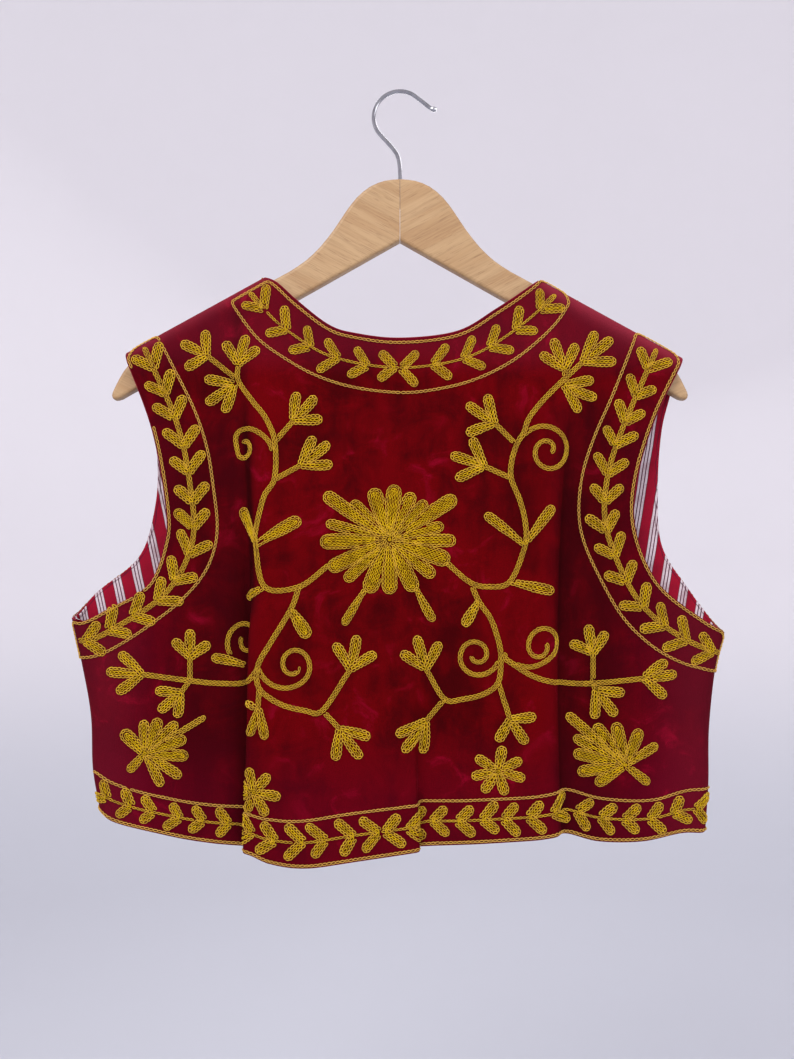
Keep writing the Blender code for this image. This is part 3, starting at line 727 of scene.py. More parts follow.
def chromeMaterial():
    # Plated wire, a little smudged
    material, shade = newMaterial("chromeWire")
    place = shade.node("TexCoord", out=3)
    smudge = place.noise(180, 3)
    base = layered(chromeLook["bright"], (smudge.between(0.4, 0.7), chromeLook["dull"]))
    surfaceOf(shade, base, 0.10 + smudge * 0.12, {"Metallic": 1.0}, (place.noise(900, 2), 0.03, 0.0002))
    return material


velvetCloth, goldThread = velvetMaterial(), threadMaterial()
cotton = {  # tilt of the stripes in degrees, repeat, and share of it that they are moved by
    "back": cottonMaterial("stripedCottonBack", 3, 16 * mm, 0.0),
    "front_left": cottonMaterial("stripedCottonLeft", -11.6, 16.8 * mm, 0.5),
    "front_right": cottonMaterial("stripedCottonRight", 8.5, 15.1 * mm, 0.67),
}
print("materials made")


# ---- cloth ----
# Strips of the back's velvet with painted light along the lit edge of a fold, or painted shade in a fold's
# hollow: the guide they follow, if any, how far to its right, half width, heights where they start, are full,
# fade and are gone, all in mm, and strength
strips = {
    "nap": (
        ("pleat", 14, 9, (-190, -330), 0.5), ("ridge", -10, 12, (-190, -330), 0.75),
        ("flute", -12, 8, (-480, -560), 0.5),
    ),
    "hollow": (
        ("pleat", -11, 9, (-300, -430), 0.6), ("pleat", 0, 3.5, (-215, -290, -390, -440), 0.95),
        (None, -126, 4, (-165, -180, -215, -245), 0.5),
    ),
}
# Where the velvet's painted light, painted shade and painted sheen highlight start and how far they take to
# be full, in mm, and how strong each is
lie = {
    "lower": (-190, -330), "plumSpan": (-180, -300), "hemSpan": (-480, -575), "upper": (-198, -228),
    "middle": (0, 20), "far": (150, 60), "outer": (185, 45), "right": (0, 150), "ridge": (0, 3),
    "nap": 0.2, "middleNap": 0.4, "ridgeHollow": 0.7, "ridgeReach": 17, "sideHollow": 0.17,
    "rim": (0.52, 0.28), "rimWidth": (8, 3), "upperRim": (0.08, 0.02), "outerRim": 0.12,
    "plum": 0.15, "farPlum": 0.45, "endPlum": 0.55, "most": 0.9,
    "frontNap": (0.45, 0.2, 40, 21), "frontFar": (170, 60), "frontPlum": (0.1, 0.25),
}


def sink(z, starts, full, fades=None, gone=None):
    # 0 above the height starts, 1 below full, and back to 0 from fades to gone, in mm
    share = fade(z, starts * mm, full * mm)
    return share if fades is None else share * (1 - fade(z, fades * mm, gone * mm))


def stripsOf(name, x, z):
    # The strips together: each is a bell across its line, times its strength at that height
    return sum(
        strength * bell(x - (guideX(guide, z) if guide else 0) - right * mm, width * mm) * sink(z, *heights)
        for guide, right, width, heights, strength in strips[name]
    )


def velvetMarks(uv, isBack):
    # The marks: the pile's brightness, which on the back is painted light on the middle panel and the lit
    # edges of the folds, and on the fronts waves of brighter and darker pile; painted shade in plum on the
    # duller sides, towards the hem and at the top; painted shade in the folds' hollows; and rim, a painted
    # sheen highlight where the pile turns over an edge
    x, z = uv.T
    away = np.abs(x)
    if isBack:
        pleatX, ridgeX = guideX("pleat", z), guideX("ridge", z)
        lower, upper = sink(z, *lie["lower"]), 1 - sink(z, *lie["upper"])
        far, right = grow(away, *lie["far"]), grow(x, *lie["right"])
        besides = 1 - grow(x - pleatX, *lie["middle"]) * grow(ridgeX - x, *lie["middle"])
        # Painted light: brighter pile on the middle panel and along the lit edges of the folds
        nap = lie["nap"] + lie["middleNap"] * (1 - besides) + stripsOf("nap", x, z)
        # Painted shade: a dark band just right of the ridge, beside the folds and in the folds' hollows
        past = x - ridgeX
        shadePastRidge = grow(past, *lie["ridge"]) * np.exp(-np.maximum(past, 0) / (lie["ridgeReach"] * mm))
        hollow = lie["ridgeHollow"] * shadePastRidge + lie["sideHollow"] * besides * (1 - far)
        hollow = hollow * lower + stripsOf("hollow", x, z)
        # Painted sheen highlight: a rim of light along the shoulders, wider and stronger to the right, over
        # the top and down the outer sides
        rims = (lie[part] for part in ("rim", "rimWidth", "upperRim"))
        rim, rimWidth, upperRim = (least + more * right for least, more in rims)
        rim = rim * bell(shoulderHeight(x) - z, rimWidth * mm) + upperRim * upper
        rim = rim + lie["outerRim"] * grow(away, *lie["outer"]) * lower
        # Painted shade: duller, darker plum pile on the back's sides, towards the hem and at the top
        plum = (lie["plum"] + lie["farPlum"] * far) * besides * sink(z, *lie["plumSpan"])
        plum = plum + lie["endPlum"] * (sink(z, *lie["hemSpan"]) + upper)
    else:
        nap, swing, acrossWaves, upWaves = lie["frontNap"]
        nap = nap + swing * np.sin(x * acrossWaves) * np.sin(z * upWaves)
        # Painted shade: darker plum pile towards a front's side
        plum = lie["frontPlum"][0] + lie["frontPlum"][1] * grow(away, *lie["frontFar"])
        hollow, rim = np.zeros_like(x), np.zeros_like(x)
    plum, hollow = (np.clip(values, 0, lie["most"]) for values in (plum, hollow))
    return {"nap": nap, "plum": plum, "hollow": hollow, "rim": rim}


def fromArmhole(uv, isBack):
    # Distance from each place to the nearer armhole, along straight lines on the cut cloth
    part = "BackArmhole" if isBack else "FrontArmhole"
    edge = np.concatenate([spline(line[side + part], 10) for side in ways])
    return np.concatenate([nearestOf(some, edge) for some in np.array_split(uv, 20)])


def makeSheet(name, node, place, relief, outward, net, lined=None):
    # One closed sheet that takes a node's place: velvet, or the lining where its cotton is given
    isVelvet = lined is None
    depths = (0.0, velvet) if isVelvet else (liningSetback, clothStack)
    roll = edgeRoll["velvet" if isVelvet else "lining"]
    points, faces, uv = clothWall(place, relief, outward, *net, depths, roll)
    if isVelvet:
        marks = velvetMarks(uv, outward < 0)
        # Painted sheen highlight all along the rolled edge
        marks["rim"][2 * net[0].size * net[1].size:] = 1.0
    else:
        marks = {"fromArmhole": fromArmhole(uv, outward < 0)}
    piece = newPiece(name, points, faces, velvetCloth if isVelvet else lined, uv, marks)
    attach(piece, "root")
    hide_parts(node)
    return piece


def netOf(name, columnsOf):
    # Columns and rows of a net
    columns, rowCount = detail[name]
    return columnsOf(columns), rowPlaces(rowCount)


def makeCloth():
    # Velvet and lining of the back and of each front
    net, liningNet = netOf("back", backColumns), netOf("backLining", partial(backColumns, isLining=True))
    hidden = partial(backRelief, isLining=True)
    yield makeSheet("backVelvet", "back_panel", backPlace, backRelief, -1, net)
    yield makeSheet("backLining", "lining_back", backPlace, hidden, -1, liningNet, cotton["back"])
    net, liningNet = netOf("front", frontColumns), netOf("frontLining", frontColumns)
    for side in ways:
        name, node, place = side + "Front", "front_" + side, partial(frontPlace, side)
        yield makeSheet(name + "Velvet", node, place, frontRelief, 1, net)
        yield makeSheet(name + "Lining", "lining_" + node, place, frontRelief, 1, liningNet, cotton[node])


cloth = {piece.name: piece for piece in makeCloth()}
print("cloth made")


# ---- where a seen place lies on the flat back ----
# From where to where it is looked for, in mm and in how many steps, along a row and along the hem, how far
# past the pleat it may be, and how near the pleat and how low a motif has to be to keep to one side of it
search = {
    "reach": (-26, 26, 79), "hem": (-240, 244, 700), "slack": 1 * mm, "near": 45 * mm, "below": -330 * mm,
}


def clothUnder(x, z, layer=0):
    # Flat x under each seen place: of the layers that cross it, the one that stands out most.
    # On layer -1, left of the pleat, or 1, right of it, a place past the fold's edge goes on under the fold.
    reach = np.linspace(*search["reach"]) * mm
    tries = x[:, None] + reach
    place = backRelief(tries, np.broadcast_to(z[:, None], tries.shape))
    allowed = layer * (tries - guideX("pleat", z)[:, None]) >= -search["slack"]
    gap = place[..., 0] - x[:, None]
    crosses = (gap[:, :-1] * gap[:, 1:] <= 0) & allowed[:, :-1]
    order = -place[:, :-1, 1] if layer == 0 else layer * reach[None, :-1] + 1.0
    best = np.where(crosses, order, -1.0).argmax(axis=1)
    row = np.arange(len(x))
    before, after = gap[row, best], gap[row, best + 1]
    flat = tries[row, best] + before / np.where(before == after, 1, before - after) * (reach[1] - reach[0])
    if layer == 0:
        return flat
    edge = np.where(allowed, -layer * place[..., 0], -1.0).argmax(axis=1)
    return np.where(crosses.any(axis=1), flat, tries[row, edge] + x - place[row, edge, 0])


def layerOf(x, z):
    # The side of the pleat a motif's base is on, where the pleat is near
    away = x - guideX("pleat", z)
    return 0 if abs(away) > search["near"] or z > search["below"] else int(math.copysign(1, away))


def seenHem():
    # Height of the back's hem at each seen x, steps at the folds included
    x = np.linspace(*search["hem"]) * mm
    z = heightAt(line["backHem"], x)
    for _ in range(2):
        z = heightAt(line["backHem"], clothUnder(x, z))
    return lambda at: np.interp(at, x, z)


hemAt = seenHem()


# ---- chain stitch ----
# Pitch and width of stitches in motifs and in lines, between rows and the least between stitches, the step a
# row is measured in, and how late it may begin, in pitches and as a share of it. Then the loop: thread, lift,
# unevenness, and its form in shares of its length, width and thread.
stitch = {
    "fillPitch": 3.2 * mm, "fillWidth": 2.8 * mm, "linePitch": 3.4 * mm, "lineWidth": 2.75 * mm,
    "rowSpacing": 2.65 * mm, "apart": 1.45 * mm, "step": 1.2 * mm, "late": 0.5, "latest": 0.3,
    "segments": 7, "threadShare": 0.178, "lift": 0.34 * mm, "uneven": 0.08, "wander": 0.06 * mm,
    "begins": -0.10, "reach": 1.14, "narrow": 0.80, "widens": 0.25, "startLift": 1.1, "endLift": 0.25,
    "tone": 0.62, "toneSpread": 0.34, "sides": (90, 210, 330),
}


class Sewing:
    # Rows of chain stitch on one panel, gathered as flat lines and laid on its relief as one mesh
    def __init__(self, relief, outward, outline, toFlat=None):
        self.relief = relief
        self.outward = outward
        self.outline = outline
        self.toFlat = toFlat
        self.lines = []

    def sew(self, points, width=stitch["fillWidth"], pitch=stitch["fillPitch"], tan=0.0, layer=0):
        # Keeps one row: its line, its stitches' width and pitch, how tan it is, and its side of the pleat
        self.lines.append((np.array(points, float), width, pitch, tan, layer))

    def stitches(self):
        # Each row is measured along the cloth in space and cut into even stitches, less those that
        # would lie on the stitches of an earlier row or off the panel
        middles, rowsMade = np.zeros((0, 2)), []
        for points, width, pitch, tan, layer in self.lines:
            lengths = lengthsOf(points)
            steps = np.linspace(0, lengths[-1], max(int(lengths[-1] / stitch["step"]), 2) + 1)
            x, z = pointsAt(points, lengths, steps)
            if self.toFlat is not None:
                x = self.toFlat(x, z, layer)
            onCloth = lengthsOf(self.relief(x, z))
            starts = min(dice.uniform(0, stitch["late"]) * pitch, stitch["latest"] * onCloth[-1])
            count = max(int(round((onCloth[-1] - starts) / pitch)), 1)
            marks = np.linspace(starts, onCloth[-1], count + 1)
            flat = pointsAt(np.stack([x, z], axis=1), onCloth, marks).T
            middle = (flat[:-1] + flat[1:]) / 2
            keep = isInside(self.outline, middle)
            if len(middles):
                keep &= nearestOf(middle, middles) > stitch["apart"]
            middles = np.concatenate([middles, middle[keep]])
            extra = np.tile((width, tan), (int(keep.sum()), 1))
            rowsMade.append(np.concatenate([flat[:-1][keep], flat[1:][keep], extra], axis=1))
        made = np.concatenate(rowsMade)
        return made[:, :2], made[:, 2:4], made[:, 4], made[:, 5]

    def make(self, name):
        # Lays every stitch on the relief, turned to its row and to the cloth, as one mesh of closed loops
        starts, ends, widths, tans = self.stitches()
        count, segments, sides = len(starts), stitch["segments"], len(stitch["sides"])
        first, last = self.relief(*starts.T), self.relief(*ends.T)
        up = normalsOf(self.relief, *((starts + ends) / 2).T) * -self.outward
        ahead = last - first
        length = np.linalg.norm(ahead, axis=1, keepdims=True)
        ahead = ahead / length
        across = unit(np.cross(up, ahead))
        up = np.cross(ahead, across)
        # The loop: a teardrop whose narrow start comes up through the wide end of the stitch before
        turn = np.linspace(0, 2 * math.pi, segments, endpoint=False)
        run = (1 - np.cos(turn)) / 2
        size = 1 + stitch["uneven"] * dice.standard_normal((count, 1))
        thread = stitch["threadShare"] * widths[:, None]
        reach = (stitch["begins"] + stitch["reach"] * run) * length
        width = stitch["narrow"] + stitch["widens"] * run
        swing = np.sin(turn) * width * (widths[:, None] / 2 - thread) * size
        lift = stitch["lift"] + thread * (stitch["startLift"] * (1 - run) ** 2 + stitch["endLift"] * run)
        lift = lift + stitch["wander"] * dice.standard_normal((count, segments))
        base = (first + last) / 2 - ahead * length / 2
        spot = base[:, None] + reach[..., None] * ahead[:, None] + swing[..., None] * across[:, None]
        # Its thread: three points round the loop's line, one of them on top
        away = np.sin(turn)[:, None] * across[:, None] - np.cos(turn)[:, None] * ahead[:, None]
        ring = []
        for angle in np.radians(stitch["sides"]):
            high = (lift + thread * math.sin(angle))[..., None] * up[:, None]
            ring.append(spot + high + math.cos(angle) * thread[..., None] * away)
        points = np.stack(ring, axis=2).reshape(-1, 3)
        number = np.arange(len(points)).reshape(count, segments, sides)
        nextSegment, nextSide = np.roll(number, -1, axis=1), np.roll(number, -1, axis=2)
        faces = np.stack([number, nextSegment, np.roll(nextSegment, -1, axis=2), nextSide], axis=-1)
        faces = facingOut(points, faces.reshape(-1, 4))
        tone = np.clip(stitch["tone"] + stitch["toneSpread"] * dice.standard_normal(count), 0, 1)
        loop = np.stack(np.meshgrid(turn / (2 * math.pi), np.arange(sides) / sides, indexing="ij"), axis=-1)
        # Painted shade on the two lower sides of each loop's thread
        marks = {
            "tone": np.repeat(tone, segments * sides), "tan": np.repeat(tans, segments * sides),
            "under": np.tile((0.0, 1.0, 1.0), count * segments),
        }
        uv = np.tile(loop.reshape(-1, 2), (count, 1))
        piece = newPiece(name, points, faces, goldThread, uv, marks)
        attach(piece, "root")
        print(name, count, "stitches", 2 * len(faces), "triangles")


# Widths of rows against their spacing, tan of outer rows and of the border's lines, a petal's samples along a
# side, round its tip and along its middle, and the share of its length over which it opens
motif = {
    "petalRow": 1.08, "vineRow": 1.15, "vineSpacing": 2.1 * mm, "scrollRow": 2.3 * mm, "scrollCloses": 0.72,
    "edgeTan": 0.3, "lineTan": 0.75, "side": 14, "tip": 11, "middle": 8, "opens": 0.75, "pastTip": 0.2,
    "heart": 1.2 * mm, "heartStart": 1.5, "leafStart": 0.02,
}
# Leaves by themselves, in threes and in pairs: their sizes, how narrow they start, and how much one may be
# unlike another, in degrees, in mm or as a bend. A bud closes a row of pairs, and the stem runs on past both
# ends of the row by this many mm.
single = {"bend": 0.08, "narrow": 0.42}
three = {"width": 8.9, "longer": 1.5, "sideShare": 0.88, "sway": 4, "bend": 0.1, "narrow": 0.6}
pair = {
    "first": 0.35, "shift": 1.2, "off": 0.7, "sway": 6, "longer": (-1.8, 1.4), "wider": (-0.6, 0.5),
    "bend": 0.03, "narrow": 0.84, "budShare": 0.95, "budWidth": 4.8, "budNarrow": 0.8, "stemBefore": 6,
    "stemAfter": 2,
}


def offsetLine(points, distance):
    # A line moved sideways to its left by distance
    ahead = np.gradient(points, axis=0)
    ahead /= np.linalg.norm(ahead, axis=1, keepdims=True) + 1e-12
    return points + distance * np.stack([-ahead[:, 1], ahead[:, 0]], axis=1)


def petal(work, base, turn, length, width, bend, narrow, layer, start=motif["leafStart"]):
    # Nested hairpins at even offsets: up one side, half a circle round the tip and down the other, and a
    # middle row where their number is odd. The offsets shrink towards the base, and bend bows it sideways.
    count = max(int(round(width / stitch["rowSpacing"])), 1)
    spacing = width / count
    tip = length - width / 2
    ahead = np.array([math.cos(turn), math.sin(turn)])
    left = np.array([-ahead[1], ahead[0]])
    run = np.linspace(start * length, tip, motif["side"])
    taper = narrow + (1 - narrow) * ease((run - start * length) / (motif["opens"] * tip))
    for n in range((count + 1) // 2):
        offset = ((count - 1) / 2 - n) * spacing
        if n == (count - 1) / 2:
            reach = np.linspace(start * length, tip + motif["pastTip"] * spacing, motif["middle"])
            off = np.zeros_like(reach)
        else:
            angle = np.linspace(math.pi / 2, -math.pi / 2, motif["tip"])
            reach = np.concatenate([run[:-1], tip + offset * np.cos(angle), run[-2::-1]])
            off = np.concatenate([offset * taper[:-1], offset * np.sin(angle), -offset * taper[-2::-1]])
        sag = bend * reach**2 / length
        points = base + np.outer(reach, ahead) + np.outer(off + sag, left)
        work.sew(points, spacing * motif["petalRow"], tan=motif["edgeTan"] if n == 0 else 0.0, layer=layer)


def vine(work, points, count=2):
    # A line through these places, sewn as some rows side by side
    dense, spacing = spline(points, 12), motif["vineSpacing"]
    for n in range(count):
        row = offsetLine(dense, (n - (count - 1) / 2) * spacing)
        work.sew(row, spacing * motif["vineRow"], tan=motif["edgeTan"])


def sprig(work, x, z, turn, spread, length):
    # Three leaves from one place
    base = np.array([x, z]) * mm
    layer = layerOf(*base)
    for n, share in ((-1, three["sideShare"]), (1, three["sideShare"]), (0, 1.0)):
        heading = math.radians(turn + n * spread + dice.uniform(-three["sway"], three["sway"]))
        reach, bend = (length + three["longer"]) * share * mm, dice.uniform(-three["bend"], three["bend"])
        petal(work, base, heading, reach, three["width"] * mm, bend, three["narrow"], layer)


def scroll(work, x, z, begin, step, radii):
    # A spiral through these radii, a step of its turning apart, sewn as two rows that close up to its end
    dense = spline(np.stack([np.arange(len(radii)), radii], axis=1), 14)
    angle = np.radians(begin + step * dense[:, 0])
    path = np.stack([x + dense[:, 1] * np.cos(angle), z + dense[:, 1] * np.sin(angle)], axis=1) * mm
    spread = np.linspace(1.0, motif["scrollCloses"], len(path))[:, None] * mm
    for side in (-1, 1):
        row = path + side * spread * (offsetLine(path, 1.0) - path)
        work.sew(row, motif["scrollRow"], tan=motif["edgeTan"], layer=layerOf(x * mm, z * mm))


def flower(work, x, z, petals, narrow):
    # Petals by heading, reach and width, each sewn from near the middle out, and a ring in the middle
    middle = np.array([x, z]) * mm
    layer = layerOf(*middle)
    for turn, reach, width in petals:
        start = motif["heartStart"] / reach
        petal(work, middle, math.radians(turn), reach * mm, width * mm, 0.0, narrow, layer, start)
    angle = np.linspace(0, 2 * math.pi, 24)
    work.sew(middle + motif["heart"] * np.stack([np.cos(angle), np.sin(angle)], axis=1), layer=layer)


# ---- bands of leaf pairs along an edge ----
def bandPoints(edge, inner, share):
    # A line between two edges at the same share of their lengths
    u = np.linspace(0, 1, 240)
    return ((1 - share) * edge(u) + share * inner(u)).T


def leafBand(work, middle, spacing, spread, length, width, stems, begin=0, end=0, bud=False, reachAt=None):
    # Pairs of leaves that open along the line, at even places on it, with the stem that joins them
    lengths = lengthsOf(middle)
    total = lengths[-1] - end * mm
    count = int((total - begin * mm) / (spacing * mm))
    marks = begin * mm + (total - begin * mm) * (np.arange(count) + pair["first"]) / count
    marks = marks + dice.uniform(-pair["shift"], pair["shift"], count) * mm
    spots, nexts = (pointsAt(middle, lengths, marks + step).T for step in (0, 4 * mm))
    for n, (spot, ahead) in enumerate(zip(spots, nexts - spots)):
        turn = math.atan2(ahead[1], ahead[0])
        spot = spot + dice.uniform(-pair["off"], pair["off"], 2) * mm
        layer = layerOf(*spot)
        if bud and n == count - 1:
            reach = length * pair["budShare"] * mm
            petal(work, spot, turn, reach, pair["budWidth"] * mm, 0.0, pair["budNarrow"], layer)
        for side in (-1, 1):
            heading = turn + side * math.radians(spread + dice.uniform(-pair["sway"], pair["sway"]))
            reach = (length + dice.uniform(*pair["longer"])) * mm * (reachAt(spot[0]) if reachAt else 1.0)
            leafWidth = (width + dice.uniform(*pair["wider"])) * mm
            petal(work, spot, heading, reach, leafWidth, side * pair["bend"], pair["narrow"], layer)
    keep = (lengths >= marks[0] - pair["stemBefore"] * mm) & (lengths <= marks[-1] + pair["stemAfter"] * mm)
    vine(work, middle[keep][::6], stems)


def borderLine(work, points):
    # One row of the borders' wider stitches
    work.sew(points, stitch["lineWidth"], stitch["linePitch"], motif["lineTan"])


def shoulderTurn(first, second):
    # Joins two lines that run up to the shoulder by a line along it, a little under it, with rounded corners
    drop, rounding = border["drop"], border["rounding"]

    def upToTurn(points):
        return points[shoulderHeight(points[:, 0]) - points[:, 1] > drop + rounding]

    first, second = upToTurn(first), upToTurn(second)
    slope = np.array([1.0, -math.copysign(ridge["slope"], first[-1, 0])])
    way = math.copysign(1, second[0, 0] - first[-1, 0])
    slope *= way / np.linalg.norm(slope)
    corners = []
    for point, side in ((first[-1], 1), (second[0], -1)):
        x = point[0] + side * rounding * slope[0]
        corners.append((x, float(shoulderHeight(x)) - drop))
    return np.concatenate([first, spline([first[-1], *corners, second[0]], 8)[1:-1], second])


def panelOutline(*parts):
    # One closed line round a panel, from dense lines that are run forwards (1) or back (-1)
    return np.concatenate([spline(points, 12)[::way] for points, way in parts])


backOutline = panelOutline(
    (line["backHem"], 1), (line["rightSide"], 1), (line["rightBackArmhole"], 1), ([rightTip, rightNeck], 1),
    (line["neck"], -1), ([leftNeck, leftTip], 1), (line["leftBackArmhole"], -1), (line["leftSide"], -1),
)

# Inner edges of the back's bands, as rounded places on the cloth as it is seen
bandEdge = {
    "neck": rows(
        (-133, -162), (-125, -175), (-110, -194.5), (-90, -209.5), (-65, -223.5), (-35, -233), (1, -237),
        (30, -234), (57, -227), (83, -214.5), (104, -199), (122, -181), (134, -162),
    ),
    "left": rows(
        (-189, -190), (-176, -215), (-159, -249), (-149, -279), (-144, -310), (-141, -339), (-144, -360),
        (-153, -379), (-170, -398), (-189, -413), (-211, -428), (-232, -439), (-250, -442),
    ),
    "right": rows(
        (184, -188), (176, -209), (163, -241), (150, -271), (141, -299), (138, -328), (142, -352),
        (155, -381), (172, -410), (193, -431), (215, -444), (235, -450), (249, -453),
    ),
}
# Places of the lines as shares of the bands, height of the hem's band at each x, the stretch of the left line
# that runs over the edge, and how far under the shoulder and how round its turns are
border = {
    "neckInset": 0.075, "armholeInset": 0.042, "middle": 0.54, "hemLift": 1.5 * mm, "hemUnit": 36 * mm,
    "hemCentre": -14.5 * mm, "overEdge": (-262 * mm, -218 * mm), "sideInset": 1.6 * mm, "sideGap": 3 * mm,
    "drop": 1.7 * mm, "rounding": 5.5 * mm, "hemRun": (-238, 241, 500),
    "hemBand": rows(
        (-236, 30), (-185, 28.5), (-120, 30), (-95, 34), (-60, 36.5), (0, 36), (30, 34), (100, 33),
        (140, 33.5), (188, 31), (206, 30.5), (238, 34),
    ),
}
# Leaf pairs: distance between them, how far they open in degrees, length and width, rows of the stem, how far
# from the line's ends they begin and end, and whether a bud closes the row
bands = {
    "neck": (20.5, 42, 19, 8.0, 1, -6, 8, True),
    "left": (21, 42, 20.3, 8.9, 2, 2, 9, True),
    "right": (21, 42, 19.5, 8.6, 2, 2, 9, True),
    "hem": (18.4, 43, 18.8, 8.8, 1, -5),
    "FrontArmhole": (20.5, 43, 18, 7.8, 1, 3, 5),
    "FrontEdge": (20.5, 43, 18, 7.8, 1, 22, 5),
    "FrontHem": (20.5, 43, 18, 7.8, 1, 3, 30),
}


def neckBorder(work):
    # Leaf pairs from the middle out both ways, and one line that runs round them over both shoulders
    edge, inner = along(line["neck"]), along(bandEdge["neck"])
    middle = bandPoints(edge, inner, border["middle"])
    centre = np.abs(middle[:, 0]).argmin()
    for way in (1, -1):
        leafBand(work, middle[centre::way], *bands["neck"])
    edgeRow, innerRow = bandPoints(edge, inner, border["neckInset"]), spline(bandEdge["neck"], 12)
    half = len(innerRow) // 2
    borderLine(work, shoulderTurn(shoulderTurn(innerRow[half::-1], edgeRow), innerRow[:half - 1:-1]))


def armholeBorder(work, side):
    # Leaf pairs up the armhole, and one line up the side seam, round the armhole and back down inside them
    edge, inner = along(line[side + "BackArmhole"]), along(bandEdge[side][::-1])
    leafBand(work, bandPoints(edge, inner, border["middle"]), *bands[side])
    edgeRow, innerRow = bandPoints(edge, inner, border["armholeInset"]), spline(bandEdge[side], 12)
    sideZ = np.linspace(innerRow[-1, 1], edgeRow[0, 1] - border["sideGap"], 12)
    sideRow = np.stack([seamX(line[side + "Side"], sideZ) - ways[side] * border["sideInset"], sideZ], axis=1)
    ring = shoulderTurn(np.concatenate([sideRow, edgeRow[4:]]), innerRow)
    if side == "left":
        leaves, returns = np.searchsorted(ring[:ring[:, 1].argmax(), 1], border["overEdge"])
        borderLine(work, ring[:leaves])
        ring = ring[returns:]
    borderLine(work, ring)


def hemBorder(work):
    # Leaf pairs from near the middle out both ways, as long as the band is high, between two lines
    x = np.linspace(*border["hemRun"]) * mm
    hem, height = hemAt(x), heightAt(border["hemBand"], x)
    middle = np.stack([x, hem + border["middle"] * height], axis=1)
    centre = np.abs(x - border["hemCentre"]).argmin()
    for way in (1, -1):
        leafBand(work, middle[centre::way], *bands["hem"],
                 reachAt=lambda at: heightAt(border["hemBand"], at) / border["hemUnit"])
    for lift in (border["hemLift"], height):
        borderLine(work, np.stack([x, hem + lift], axis=1))


def backBorders(work):
    neckBorder(work)
    for side in ways:
        armholeBorder(work, side)
    hemBorder(work)


# ---- the field of flowers and vines on the back ----
# Place, then petals by heading in degrees, reach and width in mm, and how narrow they start
flowers = [
    (-8, -350, [
        (84.7, 42.8, 12.3), (63.5, 40.8, 11), (46, 41.5, 9.5), (32.4, 61, 12), (14.5, 43.5, 9.5),
        (-1, 51.4, 10.6), (-19.5, 49.5, 13.5), (-39.5, 45, 10.6), (-64, 44.5, 12.6), (-90, 42.3, 12.4),
        (-112.3, 44.4, 13.2), (-137.2, 47, 9.5), (-154.4, 52.3, 12), (-178, 53.7, 12.6), (165.2, 51, 8.8),
        (145.1, 61.8, 11.2), (135, 42, 10.2), (108.2, 41.8, 12.8),
    ], 0.5),
    (-197, -515, [
        (135, 25.5, 11.5), (91, 26.6, 9), (67, 30, 9.8), (43.7, 35.5, 8.8), (20, 34.8, 9.6), (31, 56, 5.2),
        (-3.5, 34.4, 9.8), (-33, 34.4, 9), (-62.4, 29.5, 8.6), (-132, 20, 7.6),
    ], 0.62),
    (174, -524, [
        (139, 61, 8.5), (127, 40, 10.5), (103, 34.3, 10.5), (68, 30.6, 10), (33, 30.2, 8), (-38, 24.4, 7.7),
        (-147, 28.2, 9.6), (-171.6, 38, 9.8), (166.6, 41.9, 9.8), (151.3, 46.5, 8.8),
    ], 0.62),
    (75, -527, [
        (80, 20.5, 9), (28, 21, 8.5), (-15, 22, 8.5), (-73, 20, 9), (-125, 21, 9), (-167, 21.5, 8.5),
        (148, 21, 9),
    ], 0.6),
    (-111, -542, [
        (102, 20, 8), (50, 19, 9), (-9, 21.5, 9), (-61, 21, 9), (-110, 17, 8), (150, 17, 8), (200, 16, 8),
    ], 0.6),
]
# Sprigs of three leaves: place, heading of the middle leaf, spread and length
sprigs = [
    (-76, -293, 32, 38, 27), (-82, -259, 43, 43, 25), (-149, -208, 155, 56, 22), (-125, -215, 82, 38, 23),
    (-128, -230, 213, 40, 26), (-38, -449, 78, 42, 26), (-46, -494, 304, 41, 27),
    (-162, -441, 87, 46, 21), (-199, -454, 176, 44, 27), (-169, -468, 220, 46, 22),
    (65, -294, 157, 42, 27), (73, -261, 149, 42, 26), (127, -219, 107, 43, 25), (141, -213, 36, 33, 29),
    (126, -231, -23, 37, 27), (20, -449, 107, 43, 26), (20, -489, 235, 32, 28), (84, -487, -56, 58, 22),
    (149, -438, 102, 45, 22), (188, -457, 0, 40, 25), (151, -466, 311, 43, 25),
]
vines = [
    [(-51, -367.5), (-57, -371.5), (-77, -386), (-103, -386), (-110, -354), (-110, -342), (-104, -317),
     (-96, -303), (-96, -275), (-103, -257), (-113, -244), (-125, -227), (-125, -216)],
    [(-96, -304), (-76, -293)], [(-96, -275), (-82, -259)], [(-125, -227), (-149, -208)],
    [(-77, -386), (-83, -403), (-100, -431), (-108, -446), (-107, -463), (-91, -475), (-72, -480),
     (-59, -480), (-38, -449)],
    [(-59, -480), (-46, -494)], [(-107, -463), (-108, -480)],
    [(-108, -448), (-119, -460), (-140, -461), (-162, -459), (-199, -454)], [(-162, -459), (-162, -441)],
    [(-162, -459), (-169, -468)],
    [(36, -368), (54, -383), (69, -386), (84, -382), (95, -356), (96, -340), (92, -321), (85, -303),
     (86, -288), (90, -276), (95, -268), (99, -257), (110, -243), (127, -226), (141, -213)],
    [(85, -303), (65, -294)], [(90, -278), (73, -261)], [(127, -228), (127, -218)],
    [(54, -383), (60, -397), (69, -410), (75, -427), (77, -440), (75, -459), (64, -468), (48, -472),
     (34, -472), (20, -449)],
    [(34, -472), (20, -489)], [(75, -459), (84, -487)],
    [(79, -440), (101, -454), (124, -460), (149, -461), (190, -457)], [(149, -461), (149, -438)],
    [(149, -461), (151, -466)],
]
